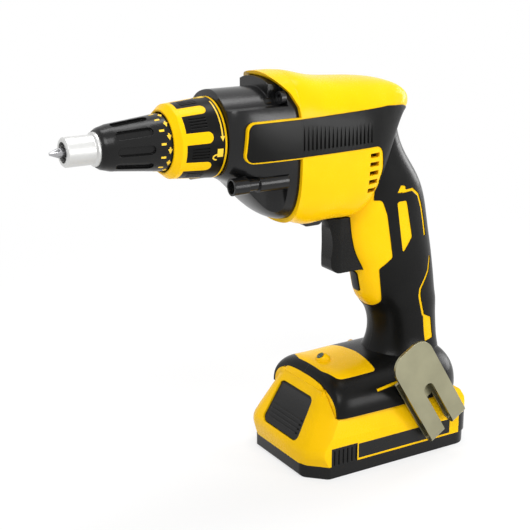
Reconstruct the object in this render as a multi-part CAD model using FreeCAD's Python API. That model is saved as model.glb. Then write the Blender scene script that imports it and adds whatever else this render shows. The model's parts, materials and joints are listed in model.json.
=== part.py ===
import FreeCAD, Part
import math
import os

# Cordless drywall screwdriver, in millimetres. The nose points along -X, the left side along -Y
# and Z is up. The origin is the middle of the battery's base.

V = FreeCAD.Vector

# Fits shared by all pieces
RUN = 0.08            # radial gap of a turning or sliding fit
FREE = 0.4            # gap between pieces that pass each other
TOUCH = 0.15          # gap of a piece dropped into a pocket

# Drive axes
SPINDLE_Z = 198.4
GEAR_MODULE = 0.8
PINION_TEETH = 14
GEAR_TEETH = 56
BACKLASH = 0.25
PRESSURE_ANGLE = 20.0
ADDENDUM = 0.9        # tooth height over the pitch circle, in modules
DEDENDUM = 1.25       # tooth depth under the pitch circle, in modules

# Bit and its holder
BIT_TIP_X = -191.3
BIT_LENGTH = 25.0
BIT_FLATS = 6.35
BIT_NECK_R = 2.4
BIT_NECK_LENGTH = 9.0
BIT_POINT_LENGTH = 4.2
BIT_POINT_R = 0.8
BIT_WING = 1.0
HOLDER_R = 4.9
HOLDER_GRIP = 12.0
HOLDER_LENGTH = 30.0
SHANK_LENGTH = 26.0
MAGNET_R = 2.4
MAGNET_LENGTH = 3.0

# Output spindle and clutch
SOCKET_R = 6.0
SOCKET_LENGTH = 30.0
SOCKET_RING = 1.0
SOCKET_RING_SETBACK = 4.0
JOURNAL_R = 4.0
SPINDLE_TAIL = 3.5
CLUTCH_R = 10.5
CLUTCH_DISC = 4.0
DOG_HEIGHT = 2.5
DOG_GAP = 2.0
DOG_COUNT = 3
DOG_ARC = 38.0
DOG_INNER_R = 7.4
CLUTCH_SPRING_WIRE = 0.9
CLUTCH_SPRING_TURNS = 3
GEAR_FRONT_X = -80.0
GEAR_WIDTH = 7.0
GEAR_HUB_R = 8.0
GEAR_HUB = 2.4
GEAR_RIM = 4.0
GEAR_WEB = 4.0
WASHER = 1.0

# Bearings
FRONT_BEARING_R = 9.5
FRONT_BEARING_WIDTH = 6.0
FRONT_BEARING_X = -112.0
BUSH_WALL = 2.4
MOTOR_BEARING_R = 7.0
MOTOR_BEARING_WIDTH = 5.0
TAIL_BEARING_R = 5.5
TAIL_BEARING_WIDTH = 4.0
RACE = 1.5            # thickness of a bearing's inner and outer race

# Nose pieces
NOSE_FRONT_X = -184.5
NOSE_R = 7.6
NOSE_MOUTH_R = 5.4
NOSE_MOUTH = 4.0
NOSE_BORE_R = 6.35
NOSE_FLANGE_R = 8.8
NOSE_FLANGE = 1.4
NOSE_SHANK_R = 8.2
NOSE_SHANK = 25.0
NOSE_EDGE = 0.8
CONE_FRONT_X = -167.0
CONE_FRONT_R = 9.6
CONE_SHOULDER = 6.5
CONE_SHOULDER_R = 12.0
CONE_REAR_R = 15.4
CONE_LENGTH = 39.0
CONE_SLOTS = 9
CONE_SLOT_TURN = 53.0
CONE_SLOT_SETBACK = 0.6
CONE_SLOT_LENGTH = 20.0
CONE_SLOT_WIDTH = 4.8
CONE_SLOT_DEPTH = 1.4
CARRIER_WALL = 2.0
CARRIER_LENGTH = 22.0
CARRIER_SKIRT = 2.7
SEAL_WIRE = 0.9
NECK_R = 12.6
NECK_LENGTH = 23.3

# Lock collar
COLLAR_FRONT_X = -131.0
COLLAR_REAR_X = -103.1
COLLAR_MOUTH_R = 16.3
COLLAR_CHAMFER = 3.4
COLLAR_FRONT_R = 19.5
COLLAR_REAR_R = 21.5
COLLAR_SLEEVE = 1.6
COLLAR_RING = 2.4
COLLAR_BACK_RING = 1.1
COLLAR_SEAT_R = 16.2
COLLAR_SEAT = 6.0
FINGERS = 8
FINGER_WIDTH = 6.0
FINGER_END_X = -110.6
FINGER_TURN = 79.0
FINGER_TIP = 0.96        # roundness of a finger's end
PAD_RIBS = 4
PAD_RIB_TURN = 4.6       # degrees from groove to groove
PAD_RIB_SETBACK = 3.0
PAD_RIB_LENGTH = 9.5
PAD_RIB_WIDTH = 0.7
PAD_RIB_DEPTH = 0.7

# Gear case stations: x, lowest z, highest z, half width
GEAR_CASE = [
    (-102.6, 178.2, 221.8, 22.8),
    (-99.5, 176.0, 225.0, 24.8),
    (-95.0, 173.6, 226.6, 25.9),
    (-88.0, 168.0, 227.4, 26.5),
    (-80.0, 159.5, 228.0, 26.8),
    (-71.0, 152.4, 228.4, 26.9),
    (-62.0, 149.8, 228.4, 26.9),
]
CASE_WALL = 3.2
CASE_NOSE_X = -95.5   # inner face of the front bulkhead
CASE_SQUARENESS = 2.8
CASE_SCREW_R = 2.0
CASE_SCREW_HEAD_R = 3.4
CASE_SCREW_HEAD = 3.0
CASE_SCREWS = [(18.8, 219.0, -67.8), (23.0, 175.5, -96.0)]   # y, z, x under the head
CASE_SCREW_END_X = -57.5
CASE_BOSS_R = 4.6
CASE_STEM_R = 3.4      # slimmer stem behind the lower screw's cup
CASE_CUP = 6.0
CASE_SOCKET_X = -86.5
SCOOP_FRONT_X = -93.0  # recess in each side of the belly, which the stem crosses
SCOOP_REAR_X = -69.0
SCOOP_TOP_Z = 179.5
SCOOP_Y = 15.5
SCOOP_R = 8.0
CROWN_R = 25.0         # round top of the case ahead of a raised rim
CROWN_Z = 215.0        # shelf beside the round top
CASE_THIN_WALL = 2.0
RIM_FRONT_X = -75.0
RIM_POCKET_Y = 14.6    # pockets for the upper screws run out from here
BEARING_PLATE = 5.0

# Main housing stations: x, lowest z, highest z, half width
BARREL = [
    (-62.0, 147.6, 229.8, 29.1),
    (-52.0, 145.8, 229.3, 29.2),
    (-42.0, 145.8, 226.9, 29.2),
    (-30.0, 146.2, 225.4, 29.1),
    (-15.0, 148.0, 224.5, 28.0),
    (-3.0, 164.0, 223.4, 24.6),
    (7.0, 189.0, 221.5, 20.4),
    (14.0, 201.0, 218.9, 16.6),
    (19.0, 204.2, 215.6, 12.2),
    (22.0, 206.0, 212.6, 7.8),
    (23.6, 207.4, 210.2, 3.6),
]
BARREL_SQUARENESS = 2.9

# Handle stations: z, front x, rear x, half width
HANDLE = [
    (205.0, -24.0, 14.6, 18.6),
    (197.0, -24.0, 14.8, 19.0),
    (188.0, -24.0, 17.2, 19.4),
    (178.0, -24.0, 22.9, 19.2),
    (167.0, -23.0, 30.8, 18.8),
    (155.0, -20.0, 36.9, 18.3),
    (142.0, -18.0, 40.4, 17.8),
    (130.0, -16.2, 42.9, 17.4),
    (120.0, -12.6, 45.0, 17.1),
    (112.0, -8.2, 46.4, 16.9),
    (105.0, -6.2, 47.6, 16.7),
    (98.0, -4.6, 48.7, 16.5),
    (92.0, -2.0, 49.6, 16.3),
    (86.0, 3.4, 50.5, 16.1),
    (79.0, 7.0, 50.6, 16.0),
    (72.0, 8.2, 51.0, 16.1),
    (66.0, 7.8, 51.4, 16.6),
    (61.0, 6.4, 51.8, 17.6),
    (56.0, 3.0, 52.4, 19.4),
]
HANDLE_SQUARENESS = 2.3

# Foot stations: x, crest z, half width
FOOT = [
    (-40.5, 52.4, 34.4),
    (-38.8, 55.0, 35.4),
    (-35.5, 56.8, 36.2),
    (-28.0, 57.3, 36.6),
    (-10.0, 57.6, 36.8),
    (15.0, 58.0, 36.8),
    (32.0, 58.2, 36.4),
    (42.0, 58.0, 33.2),
    (47.5, 56.8, 29.6),
    (51.8, 54.0, 25.2),
    (55.2, 49.6, 19.6),
    (57.6, 44.0, 12.0),
    (58.4, 40.0, 6.0),
]
FOOT_BASE_Z = 35.5
FOOT_SQUARENESS = 2.5

# Walls and overmould of the housing
SHELL = 3.4           # outer skin to cavity
RUBBER = 1.3          # depth of the rubber into the skin
PROUD = 0.45          # height of the rubber over the skin
SKIN = 2.4            # front tongue and visor over the gear case
RIM = 0.8             # yellow line left round the front of the side grip

# Side view outlines: x, z, corner radius
TONGUE = [(-58.0, 208.9, 0), (-94.6, 208.9, 5.0), (-96.6, 187.4, 5.0), (-58.0, 187.4, 0)]
VISOR = [(-58.0, 208.9, 0), (-62.2, 208.9, 0), (-62.6, 214.0, 3.0), (-66.2, 221.5, 5.0),
         (-72.6, 229.0, 0), (-74.0, 240.0, 0), (-58.0, 240.0, 0)]
GRIP = [
    (-94.6 + RIM, 208.9 - RIM, 4.0),
    (-62.0, 208.9 - RIM, 0),
    (-2.0, 209.8, 20.0),
    (12.0, 208.6, 12.0),
    (21.0, 203.6, 0),
    (30.0, 200.0, 0),
    (90.0, 200.0, 0),
    (90.0, 30.0, 0),
    (-60.0, 30.0, 0),
    (-60.0, 70.0, 0),
    (-25.0, 78.0, 0),
    (-3.0, 86.8, 0),
    (1.6, 86.6, 2.2),
    (4.8, 92.0, 3.0),
    (1.4, 112.8, 1.6),
    (8.8, 119.2, 2.5),
    (3.4, 145.6, 10.0),
    (-0.6, 154.8, 3.5),
    (-22.6, 156.8, 0.4),
    (-11.0, 160.6, 9.0),
    (-6.0, 174.0, 13.0),
    (-8.4, 189.0, 6.0),
    (-62.0, 187.4 + RIM, 0),
    (-96.6 + RIM, 187.4 + RIM, 4.0),
]
WINDOW_UPPER = [(9.4, 152.8, 1.5), (16.6, 152.8, 2.0), (22.2, 130.0, 2.0), (15.6, 120.6, 1.0)]
WINDOW_LOWER = [(34.8, 62.6, 1.0), (42.3, 63.4, 1.0), (40.6, 76.5, 2.0), (33.2, 80.4, 1.0)]
WINDOW_TAG = [(9.0, 157.8, 0.6), (15.4, 157.8, 0.6), (15.4, 161.4, 0.8), (11.6, 162.4, 0.8)]
LINE_UPPER = [(13.0, 158.4), (21.0, 158.6), (26.5, 154.5), (29.6, 147.0), (32.2, 137.0), (33.8, 128.5)]
LINE_LOWER = [(39.4, 115.0), (37.2, 106.3), (30.4, 96.5), (30.0, 92.5), (30.9, 88.5), (33.6, 79.0)]
LINE_FOOT = [(-12.7, 46.9), (4.6, 48.7)]
LINE_WIDTH = 1.9
FOOT_LINE_WIDTH = 1.7

# Side grip ribs and vents
GRIP_RIBS = 18
GRIP_RIB_FRONT_X = -62.0
GRIP_RIB_STEP = 2.6
GRIP_RIB_WIDTH = 1.1
GRIP_RIB_DEPTH = 0.3
GRIP_RIB_TOP_Z = 205.5
GRIP_RIB_BOTTOM_Z = 191.5
VENTS = 5
VENT_FRONT_X = -17.4
VENT_LENGTH = 7.0
VENT_TOP_Z = 184.0
VENT_STEP = 5.0
VENT_HEIGHT = 2.5

# Screws that hold the two halves: x, z, y under the head
HALF_SCREWS = [(-57.0, 206.8, 17.0), (0.0, 207.0, 13.0), (13.0, 169.0, 11.0), (35.2, 128.0, 7.5),
               (24.0, 92.0, 7.5), (49.8, 46.0, 15.0)]
HALF_SCREW_R = 1.75
HALF_SCREW_HEAD_R = 3.0
HALF_SCREW_HEAD = 2.4
HALF_SCREW_REACH = 12.0
HALF_BOSS_R = 3.6

# Motor
SHAFT_R = 2.5
SHAFT_TAIL_R = 2.0
ROTOR_R = 10.2
AIR_GAP = 0.5
STATOR_R = 19.0
STATOR_FRONT_X = -55.0
STATOR_LENGTH = 33.0
STATOR_YOKE = 3.0
STATOR_TEETH = 6
STATOR_TOOTH = 5.0
COIL_THICKNESS = 2.2
COIL_OVERHANG = 4.0
COIL_SHOE = 1.4
MAGNETS = 4
MAGNET_SLOT = 1.6
MAGNET_WIDTH = 9.0
FAN_FRONT_X = -15.5
FAN_WIDTH = 7.0
FAN_R = 17.6
FAN_HUB_R = 5.0
FAN_DISC = 1.2
FAN_BLADES = 9
TAIL_BEARING_X = -6.0
STATOR_RIB = 2.5
STATOR_RIB_INSET = 3.0
TAIL_RIB = 6.0
TAIL_RIB_TOP_Z = 184.0

# Control module over the motor
SHELF_Z = 195.0
MODULE_FRONT_X = -52.5
MODULE_LENGTH = 42.0
MODULE_WIDTH = 34.0
MODULE_HEIGHT = 15.0
MODULE_FINS = 7
MODULE_FIN = 1.6

# Trigger, direction button and lock button
TRIGGER_TRAVEL = 6.0
TRIGGER_HALF_WIDTH = 7.8
TRIGGER_TOP_Z = 144.6
TRIGGER_BOTTOM_Z = 112.2
TRIGGER_FRONT_X = -28.2
TRIGGER_LEAN = 2.0
TRIGGER_REAR_X = -2.0
TRIGGER_NOSE_R = 7.2
TRIGGER_DISH_R = 46.0
TRIGGER_DISH = 1.2
TRIGGER_SPRING_R = 4.0
TRIGGER_SPRING_WIRE = 1.0
TRIGGER_SPRING_TURNS = 6
TRIGGER_SPRING_SEAT = 12.0
SWITCH_LENGTH = 24.0
SWITCH_WIDTH = 22.0
SWITCH_TOP_Z = 143.0
SWITCH_BOTTOM_Z = 117.0
SWITCH_GAP = 1.0
SWITCH_TAB = 4.0
DIRECTION_X = -39.5
DIRECTION_LENGTH = 13.0
DIRECTION_WIDTH = 10.0
DIRECTION_BOTTOM_Z = 142.4
DIRECTION_TRAVEL = 3.5
DIRECTION_FLANGE = 2.0
LOCK_Z = 103.4
LOCK_WIDTH = 6.4
LOCK_HEIGHT = 12.0
LOCK_PROUD = 0.7
LOCK_REAR_X = 3.0
LOCK_SPRING_R = 1.8
LOCK_SPRING_WIRE = 0.5
LOCK_SPRING_TURNS = 3
LOCK_SPRING_LENGTH = 4.4
LOCK_POST = 3.6
LOCK_POST_HEIGHT = 8.0

# Foot panel with the work light
PANEL = [(-36.8, -12.0, 6.0), (-33.0, -24.4, 4.0), (-6.6, -24.4, 3.0), (-4.0, 0.0, 30.0),
         (-6.6, 24.4, 3.0), (-33.0, 24.4, 4.0), (-36.8, 12.0, 6.0)]
LIGHT_X = -27.6
LIGHT_HOOD_R = 4.6
LIGHT_LENS_R = 2.2
LIGHT_LENS_LENGTH = 4.0
LIGHT_TILT = 58.0
LIGHT_BOARD = 1.2

# Battery
BATTERY_FRONT_X = -60.0
BATTERY_REAR_X = 57.0
BATTERY_WIDTH = 75.0
BATTERY_FRONT_WIDTH = 60.0
BATTERY_CORNER = 7.5
HIP_FACET = 1.2        # how deep the narrow facet between the front and a hip cuts
FRONT_UNDERCUT = 0.9
HIP_UNDERCUT = 3.5     # how far the front corners draw in towards the tray
HIP_LEAN = 0.615       # and how far they lean back, per height
BATTERY_CAVITY_X = -46.5
BATTERY_CEILING = 2.6
BATTERY_REAR_R = 11.0
TRAY_TOP_Z = 8.0
TRAY_INSET = 0.9
TRAY_FLOOR = 2.4
TRAY_ROLL = 7.0
BATTERY_RIDGE_Z = 24.0
BATTERY_SHOULDER = 2.6
REAR_RIDGE_Z = 20.0
REAR_LEAN = 8.0
BATTERY_TOP_Z = 35.1
BATTERY_WALL = 2.4
SNOUT_TOP_Z = 52.0
SNOUT_SHELF_Z = 17.0
SHELF_R = 10.0
SNOUT_LEAN = 16.8
SNOUT_LEAN_RISE = 31.0
SNOUT_GAP = 0.4
RIM_BAND = 2.8         # yellow band between the foot and a groove in the shell
RIM_GROOVE = 0.6
RIM_GROOVE_Z = 32.4
TOWER_REAR_X = 46.0
TOWER_HALF_WIDTH = 22.0
TOWER_NECK_HALF_WIDTH = 19.4
TOWER_TOP_Z = 48.4
RAIL_BOTTOM_Z = 39.4
RAIL_TOP_Z = 43.4
POCKET_CLEAR = 0.6
CELL_R = 9.15
CELL_LENGTH = 65.0
CELLS = 5
CELL_STEP = 18.7
CELL_Z = 12.6
CELL_SHIFT = 3.0
HOLDER_PLATE = 7.0
HOLDER_TOP_Z = 25.0
BOARD = 1.6
BOARD_LENGTH = 80.0
BLADES = 4
BLADE_STEP = 8.0
BLADE_THICKNESS = 0.8
BLADE_LENGTH = 18.0
BLADE_DEPTH = 8.0
BLADE_SLOT = 2.6
CONTACT_LENGTH = 9.0
CONTACT_GAP = 0.5
BLOCK_HEIGHT = 5.0
BLOCK_LENGTH = 24.0
BLOCK_WIDTH = 34.0
PATCH_FRONT_X = -46.0
PATCH_REAR_X = -28.0
PATCH_TOP_Z = 19.0
PATCH_DEPTH = 1.4
PATCH_RIBS = 6
LABEL_REAR_X = 40.0
LABEL_BOTTOM_Z = 9.2
LABEL_TOP_Z = 18.2
LABEL_DEPTH = 0.6
WRAP_X = 47.0
WRAP_TOP_Z = 20.0
WRAP_DEPTH = 1.4
BATTERY_SCREW_X = -53.0
BATTERY_SCREW_Y = 15.0
BATTERY_SCREW_R = 1.5
BATTERY_SCREW_HEAD_R = 2.8
BATTERY_SCREW_HEAD = 1.6
BATTERY_SCREW_LENGTH = 12.0

# Release button, in the leaning front face of the battery
RELEASE_BOTTOM = 2.6
RELEASE_TOP = 30.0
RELEASE_BOTTOM_HALF = 19.5
RELEASE_TOP_HALF = 17.2
RELEASE_R = 4.0
RELEASE_SINK = 0.9
RELEASE_THICKNESS = 2.0
RELEASE_POCKET_TOP = 3.2
RELEASE_POCKET_BOTTOM = 9.0
RELEASE_RIBS = 4
RELEASE_RIB = 0.8
RELEASE_RIB_STEP = 2.6
RELEASE_PIN_R = 1.2
RELEASE_PIN_REACH = 2.0
RELEASE_SPRING_R = 2.2
RELEASE_SPRING_WIRE = 0.6
RELEASE_SPRING_TURNS = 4
RELEASE_SPRING_LENGTH = 6.4

# Belt hook
HOOK_TOP_X = -1.2
HOOK_TOP_Z = 73.1
HOOK_TILT = 58.2      # degrees from level
HOOK_LENGTH = 65.0
HOOK_WIDTH = 28.5
HOOK_SHEET = 1.6
HOOK_FACE_Y = -46.8   # outer face of the clip
HOOK_GAP = 5.6
HOOK_TOP_R = 10.0
HOOK_SLOT = 7.2
HOOK_SLOT_START = 28.0
HOOK_BACK_TOP = 19.0
HOOK_SCREW_AT = 27.0
HOOK_SCREW_R = 2.0
HOOK_SCREW_HEAD_R = 4.2
HOOK_SCREW_HEAD = 2.0
INSERT_R = 3.0
INSERT_LENGTH = 6.0
HOOK_BOSS_R = 7.0
SPARE_SEAT_Y = 30.0

# Sizes worked out from those above
PINION_R = GEAR_MODULE * PINION_TEETH / 2
GEAR_R = GEAR_MODULE * GEAR_TEETH / 2
MOTOR_Z = SPINDLE_Z - PINION_R - GEAR_R
GEAR_TIP_R = GEAR_R + ADDENDUM * GEAR_MODULE
GEAR_ROOT_R = GEAR_R - DEDENDUM * GEAR_MODULE
BIT_REAR_X = BIT_TIP_X + BIT_LENGTH
HOLDER_FRONT_X = BIT_REAR_X - HOLDER_GRIP
HOLDER_REAR_X = HOLDER_FRONT_X + HOLDER_LENGTH
SHANK_END_X = HOLDER_REAR_X + SHANK_LENGTH
SOCKET_END_X = HOLDER_REAR_X + SOCKET_LENGTH
CLUTCH_REAR_X = GEAR_FRONT_X - 2 * DOG_HEIGHT - DOG_GAP
GEAR_REAR_X = GEAR_FRONT_X + GEAR_WIDTH
PLATE_FRONT_X = GEAR_REAR_X + GEAR_HUB + WASHER + RUN
PLATE_REAR_X = PLATE_FRONT_X + BEARING_PLATE
SPINDLE_END_X = PLATE_REAR_X + SPINDLE_TAIL
CONE_REAR_X = CONE_FRONT_X + CONE_LENGTH
CASE_FRONT_X = GEAR_CASE[0][0]
NECK_FRONT_X = CASE_FRONT_X - NECK_LENGTH
CARRIER_BORE_R = NOSE_SHANK_R + RUN
CARRIER_R = CARRIER_BORE_R + CARRIER_WALL
CARRIER_FRONT_X = CONE_REAR_X - CARRIER_LENGTH
SKIRT_BORE_R = NECK_R + RUN
SKIRT_R = SKIRT_BORE_R + CARRIER_SKIRT
SKIRT_REAR_X = CASE_FRONT_X - COLLAR_SEAT - FREE
BARREL_FRONT_X = BARREL[0][0]
STATOR_REAR_X = STATOR_FRONT_X + STATOR_LENGTH
SWITCH_FRONT_X = TRIGGER_REAR_X + TRIGGER_TRAVEL + SWITCH_GAP
SNOUT_REAR_X = FOOT[0][0] - SNOUT_GAP
POCKET_TOP_Z = TOWER_TOP_Z + POCKET_CLEAR
POCKET_HALF_WIDTH = TOWER_HALF_WIDTH + POCKET_CLEAR
POCKET_REAR_X = TOWER_REAR_X + POCKET_CLEAR
BLADE_REAR_X = TOWER_REAR_X - 2.0 * POCKET_CLEAR
BLADE_FRONT_X = BLADE_REAR_X - BLADE_LENGTH
BIG = 400.0           # longer than the whole tool, for cutting tools


# Basic solids

def block(x0, x1, y0, y1, z0, z1):
    """A box between two corners."""
    return Part.makeBox(x1 - x0, y1 - y0, z1 - z0, V(x0, y0, z0))


def rod(x0, x1, radius, z, y=0.0):
    """A cylinder along X."""
    return Part.makeCylinder(radius, x1 - x0, V(x0, y, z), V(1, 0, 0))


def cross_rod(x, z, radius, y0, y1):
    """A cylinder along Y."""
    return Part.makeCylinder(radius, y1 - y0, V(x, y0, z), V(0, 1, 0))


def ring(x0, x1, inner, outer, z):
    """A tube along X."""
    return rod(x0, x1, outer, z).cut(rod(x0, x1, inner, z))


def turned(profile, z):
    """A solid of revolution about the X axis at height z; the profile is (x, radius) corners."""
    wire = Part.makePolygon([V(x, 0, z + r) for x, r in profile] + [V(profile[0][0], 0, z + profile[0][1])])
    return Part.Face(wire).revolve(V(0, 0, z), V(1, 0, 0), 360)


def hexagon(x0, x1, flats, z):
    """A hexagonal bar along X."""
    corner = flats / math.sqrt(3)
    points = [V(x0, corner * math.cos(math.radians(60 * i)), z + corner * math.sin(math.radians(60 * i)))
              for i in range(7)]
    return Part.Face(Part.makePolygon(points)).extrude(V(x1 - x0, 0, 0))


def around(shape, count, z, start=0.0):
    """Copies of a shape, evenly spaced about the X axis at height z."""
    copies = []
    for i in range(count):
        copy = shape.copy()
        copy.rotate(V(0, 0, z), V(1, 0, 0), start + 360.0 * i / count)
        copies.append(copy)
    return copies


def join(shapes):
    """All the shapes as one solid."""
    return shapes[0].multiFuse(shapes[1:]).removeSplitter() if len(shapes) > 1 else shapes[0]


def both_sides(shape):
    """A shape and its mirror image across the middle plane."""
    return [shape, shape.mirror(V(0, 0, 0), V(0, 1, 0))]


def main_body(shape):
    """The largest solid of a shape, without the slivers where two skins nearly meet."""
    return max(shape.Solids, key=lambda solid: solid.Volume)


def rounded_face(corners, place):
    """A flat face from (a, b, corner radius) points; place turns (a, b) into a point in space."""
    edges = []
    tangents = []
    count = len(corners)
    for i in range(count):
        a, b, radius = corners[i]
        corner = V(a, b, 0)
        back = (V(corners[i - 1][0], corners[i - 1][1], 0) - corner).normalize()
        ahead = (V(corners[(i + 1) % count][0], corners[(i + 1) % count][1], 0) - corner).normalize()
        half = back.getAngle(ahead) / 2
        reach = radius / math.tan(half) if radius else 0.0
        start = corner + back * reach
        end = corner + ahead * reach
        if radius:
            inward = (back + ahead).normalize()
            middle = corner + inward * (radius / math.sin(half) - radius)
            edges.append(Part.Arc(place(start), place(middle), place(end)).toShape())
        tangents.append((start, end))
    lines = []
    for i in range(count):
        start = tangents[i][1]
        end = tangents[(i + 1) % count][0]
        if (end - start).Length > 1e-6:
            lines.append(Part.makeLine(place(start), place(end)))
    return Part.Face(Part.Wire(Part.__sortEdges__(edges + lines)))


def side_plate(corners, y0, y1):
    """A side view outline carried along Y."""
    face = rounded_face(corners, lambda p: V(p.x, y0, p.y))
    return face.extrude(V(0, y1 - y0, 0))


def plan_plate(corners, z0, z1):
    """A plan view outline carried along Z."""
    face = rounded_face(corners, lambda p: V(p.x, p.y, z0))
    return face.extrude(V(0, 0, z1 - z0))


def front_plate(corners, x0, x1):
    """A front view outline, in (y, z), carried along X."""
    face = rounded_face(corners, lambda p: V(x0, p.x, p.y))
    return face.extrude(V(x1 - x0, 0, 0))


def band(points, width, y0, y1):
    """A stripe of even width along a side view polyline, carried along Y."""
    left = []
    right = []
    for i in range(len(points)):
        x, z = points[i]
        before = points[max(i - 1, 0)]
        after = points[min(i + 1, len(points) - 1)]
        along = V(after[0] - before[0], after[1] - before[1], 0).normalize()
        left.append((x - along.y * width / 2, z + along.x * width / 2, 0))
        right.append((x + along.y * width / 2, z - along.x * width / 2, 0))
    return side_plate(left + right[::-1], y0, y1)


def coil(length, radius, wire, turns):
    """A compression spring along X from the origin, as quarter turn arcs carrying a round wire."""
    steps = 8 * turns
    rise = (length - wire) / steps
    points = [V(wire / 2 + rise * i, radius * math.cos(math.pi * i / 4), radius * math.sin(math.pi * i / 4))
              for i in range(steps + 1)]
    arcs = [Part.Arc(points[i], points[i + 1], points[i + 2]).toShape() for i in range(0, steps, 2)]
    path = Part.Wire(arcs)
    start = arcs[0].tangentAt(arcs[0].FirstParameter)
    section = Part.Wire(Part.makeCircle(wire / 2, points[0], start))
    return path.makePipeShell([section], True, True)


def placed(shape, origin, axis):
    """A shape built along X from the origin, turned to an axis and moved to a place."""
    copy = shape.copy()
    copy.Placement = FreeCAD.Placement(origin, FreeCAD.Rotation(V(1, 0, 0), axis))
    return copy


def toothed(teeth, radius, x0, x1, z, phase):
    """A spur gear blank along X with involute flanks, one tooth centred at the phase angle."""
    base = radius * math.cos(math.radians(PRESSURE_ANGLE))
    tip = radius + ADDENDUM * GEAR_MODULE
    root = radius - DEDENDUM * GEAR_MODULE
    roll = math.tan(math.radians(PRESSURE_ANGLE)) - math.radians(PRESSURE_ANGLE)
    at_pitch = math.pi / (2 * teeth) - BACKLASH / (2 * radius)
    flank = []
    low = max(base, root)
    for share in (0.0, 0.4, 0.75, 1.0):
        r = low + (tip - low) * share
        angle = math.acos(min(1.0, base / r))
        flank.append((r, at_pitch + roll - (math.tan(angle) - angle)))
    flank.insert(0, (root, flank[0][1]))
    points = []
    for i in range(teeth):
        middle = math.radians(phase) + 2 * math.pi * i / teeth
        for r, half in flank:
            points.append((r, middle - half))
        for r, half in reversed(flank):
            points.append((r, middle + half))
    corners = [V(x0, r * math.cos(a), z + r * math.sin(a)) for r, a in points]
    return Part.Face(Part.makePolygon(corners + corners[:1])).extrude(V(x1 - x0, 0, 0))


# Lofted skins of the housing

def closed_curve(points):
    """A smooth closed wire through points."""
    curve = Part.BSplineCurve()
    curve.interpolate(Points=points, PeriodicFlag=True)
    return Part.Wire(curve.toShape())


def oval(half_a, half_b, squareness, count=24):
    """Points of a rounded oval, as (a, b) pairs about its middle."""
    pairs = []
    for i in range(count):
        angle = 2 * math.pi * (i + 0.5) / count
        c = math.cos(angle)
        s = math.sin(angle)
        pairs.append((math.copysign(half_a * abs(c) ** (2 / squareness), c),
                      math.copysign(half_b * abs(s) ** (2 / squareness), s)))
    return pairs


def loft_along_x(stations, squareness, inset):
    """A skin through upright sections, drawn in by an inset."""
    wires = []
    for x, low, high, half_width in stations:
        middle = (low + high) / 2
        half_height = max((high - low) / 2 - inset, 0.5)
        pairs = oval(max(half_width - inset, 0.5), half_height, squareness)
        wires.append(closed_curve([V(x, a, middle + b) for a, b in pairs]))
    return Part.makeLoft(wires, True)


def barrel_skin(inset):
    """The barrel; its rear end draws in with the inset."""
    stations = [(x - inset * (x > 0) * x / BARREL[-1][0], low, high, half) for x, low, high, half in BARREL]
    return loft_along_x(stations, BARREL_SQUARENESS, inset)


def case_skin(inset):
    """The gear case, without its front neck."""
    return loft_along_x(GEAR_CASE, CASE_SQUARENESS, inset)


def handle_skin(inset):
    """The handle, from inside the barrel down into the foot."""
    wires = []
    for z, front, rear, half_width in HANDLE:
        middle = (front + rear) / 2
        pairs = oval((rear - front) / 2 - inset, half_width - inset, HANDLE_SQUARENESS)
        wires.append(closed_curve([V(middle + a, b, z) for a, b in pairs]))
    return Part.makeLoft(wires, True)


def foot_skin(inset, base_z):
    """The foot: arched sections on a flat base."""
    wires = []
    for x, crest, half_width in FOOT:
        height = crest - inset - base_z
        width = half_width - inset
        points = []
        for i in range(17):
            angle = math.pi * i / 16
            c = math.cos(angle)
            a = math.copysign(width * abs(c) ** (2 / FOOT_SQUARENESS), c)
            points.append(V(x, a, base_z + height * math.sin(angle) ** (2 / FOOT_SQUARENESS)))
        curve = Part.BSplineCurve()
        curve.interpolate(points)
        wires.append(Part.Wire([curve.toShape(), Part.makeLine(points[-1], points[0])]))
    return Part.makeLoft(wires, True)


def body_skin(inset):
    """Barrel, handle and foot as one solid."""
    return barrel_skin(inset).multiFuse([handle_skin(inset), foot_skin(inset, FOOT_BASE_Z)])


# Nose

def make_bit():
    """Hexagonal insert bit with a cross point."""
    neck_x = BIT_TIP_X + BIT_NECK_LENGTH
    stem = hexagon(neck_x, BIT_REAR_X, BIT_FLATS, SPINDLE_Z)
    shoulder_x = BIT_TIP_X + BIT_POINT_LENGTH
    neck = turned([(BIT_TIP_X, 0), (BIT_TIP_X, BIT_POINT_R), (shoulder_x, BIT_NECK_R),
                   (neck_x + BIT_WING, BIT_NECK_R), (neck_x + BIT_WING, 0)], SPINDLE_Z)
    flutes = []
    for turn in (45, 135, 225, 315):
        start = V(BIT_TIP_X - BIT_WING, 0, BIT_WING * math.sqrt(2))
        flute = Part.makeBox(BIT_POINT_LENGTH + 2 * BIT_WING, BIT_NECK_R * 2, BIT_NECK_R * 2)
        flute.rotate(V(0, 0, 0), V(1, 0, 0), 45)
        flute.translate(start)
        flute.rotate(V(0, 0, 0), V(1, 0, 0), turn)
        flute.translate(V(0, 0, SPINDLE_Z))
        flutes.append(flute)
    return neck.cut(flutes).fuse(stem).removeSplitter()


def make_bit_holder():
    """Magnetic holder: a hexagonal socket in front and a hexagonal shank behind."""
    body = rod(HOLDER_FRONT_X, HOLDER_REAR_X, HOLDER_R, SPINDLE_Z)
    shank = hexagon(HOLDER_REAR_X, SHANK_END_X, BIT_FLATS, SPINDLE_Z)
    socket = hexagon(HOLDER_FRONT_X, BIT_REAR_X, BIT_FLATS + 2 * RUN, SPINDLE_Z)
    seat = rod(BIT_REAR_X, BIT_REAR_X + MAGNET_LENGTH, MAGNET_R, SPINDLE_Z)
    return body.fuse(shank).cut(socket).cut(seat)


def make_bit_magnet():
    """Disc magnet at the bottom of the holder's socket."""
    return rod(BIT_REAR_X, BIT_REAR_X + MAGNET_LENGTH, MAGNET_R, SPINDLE_Z)


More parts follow.
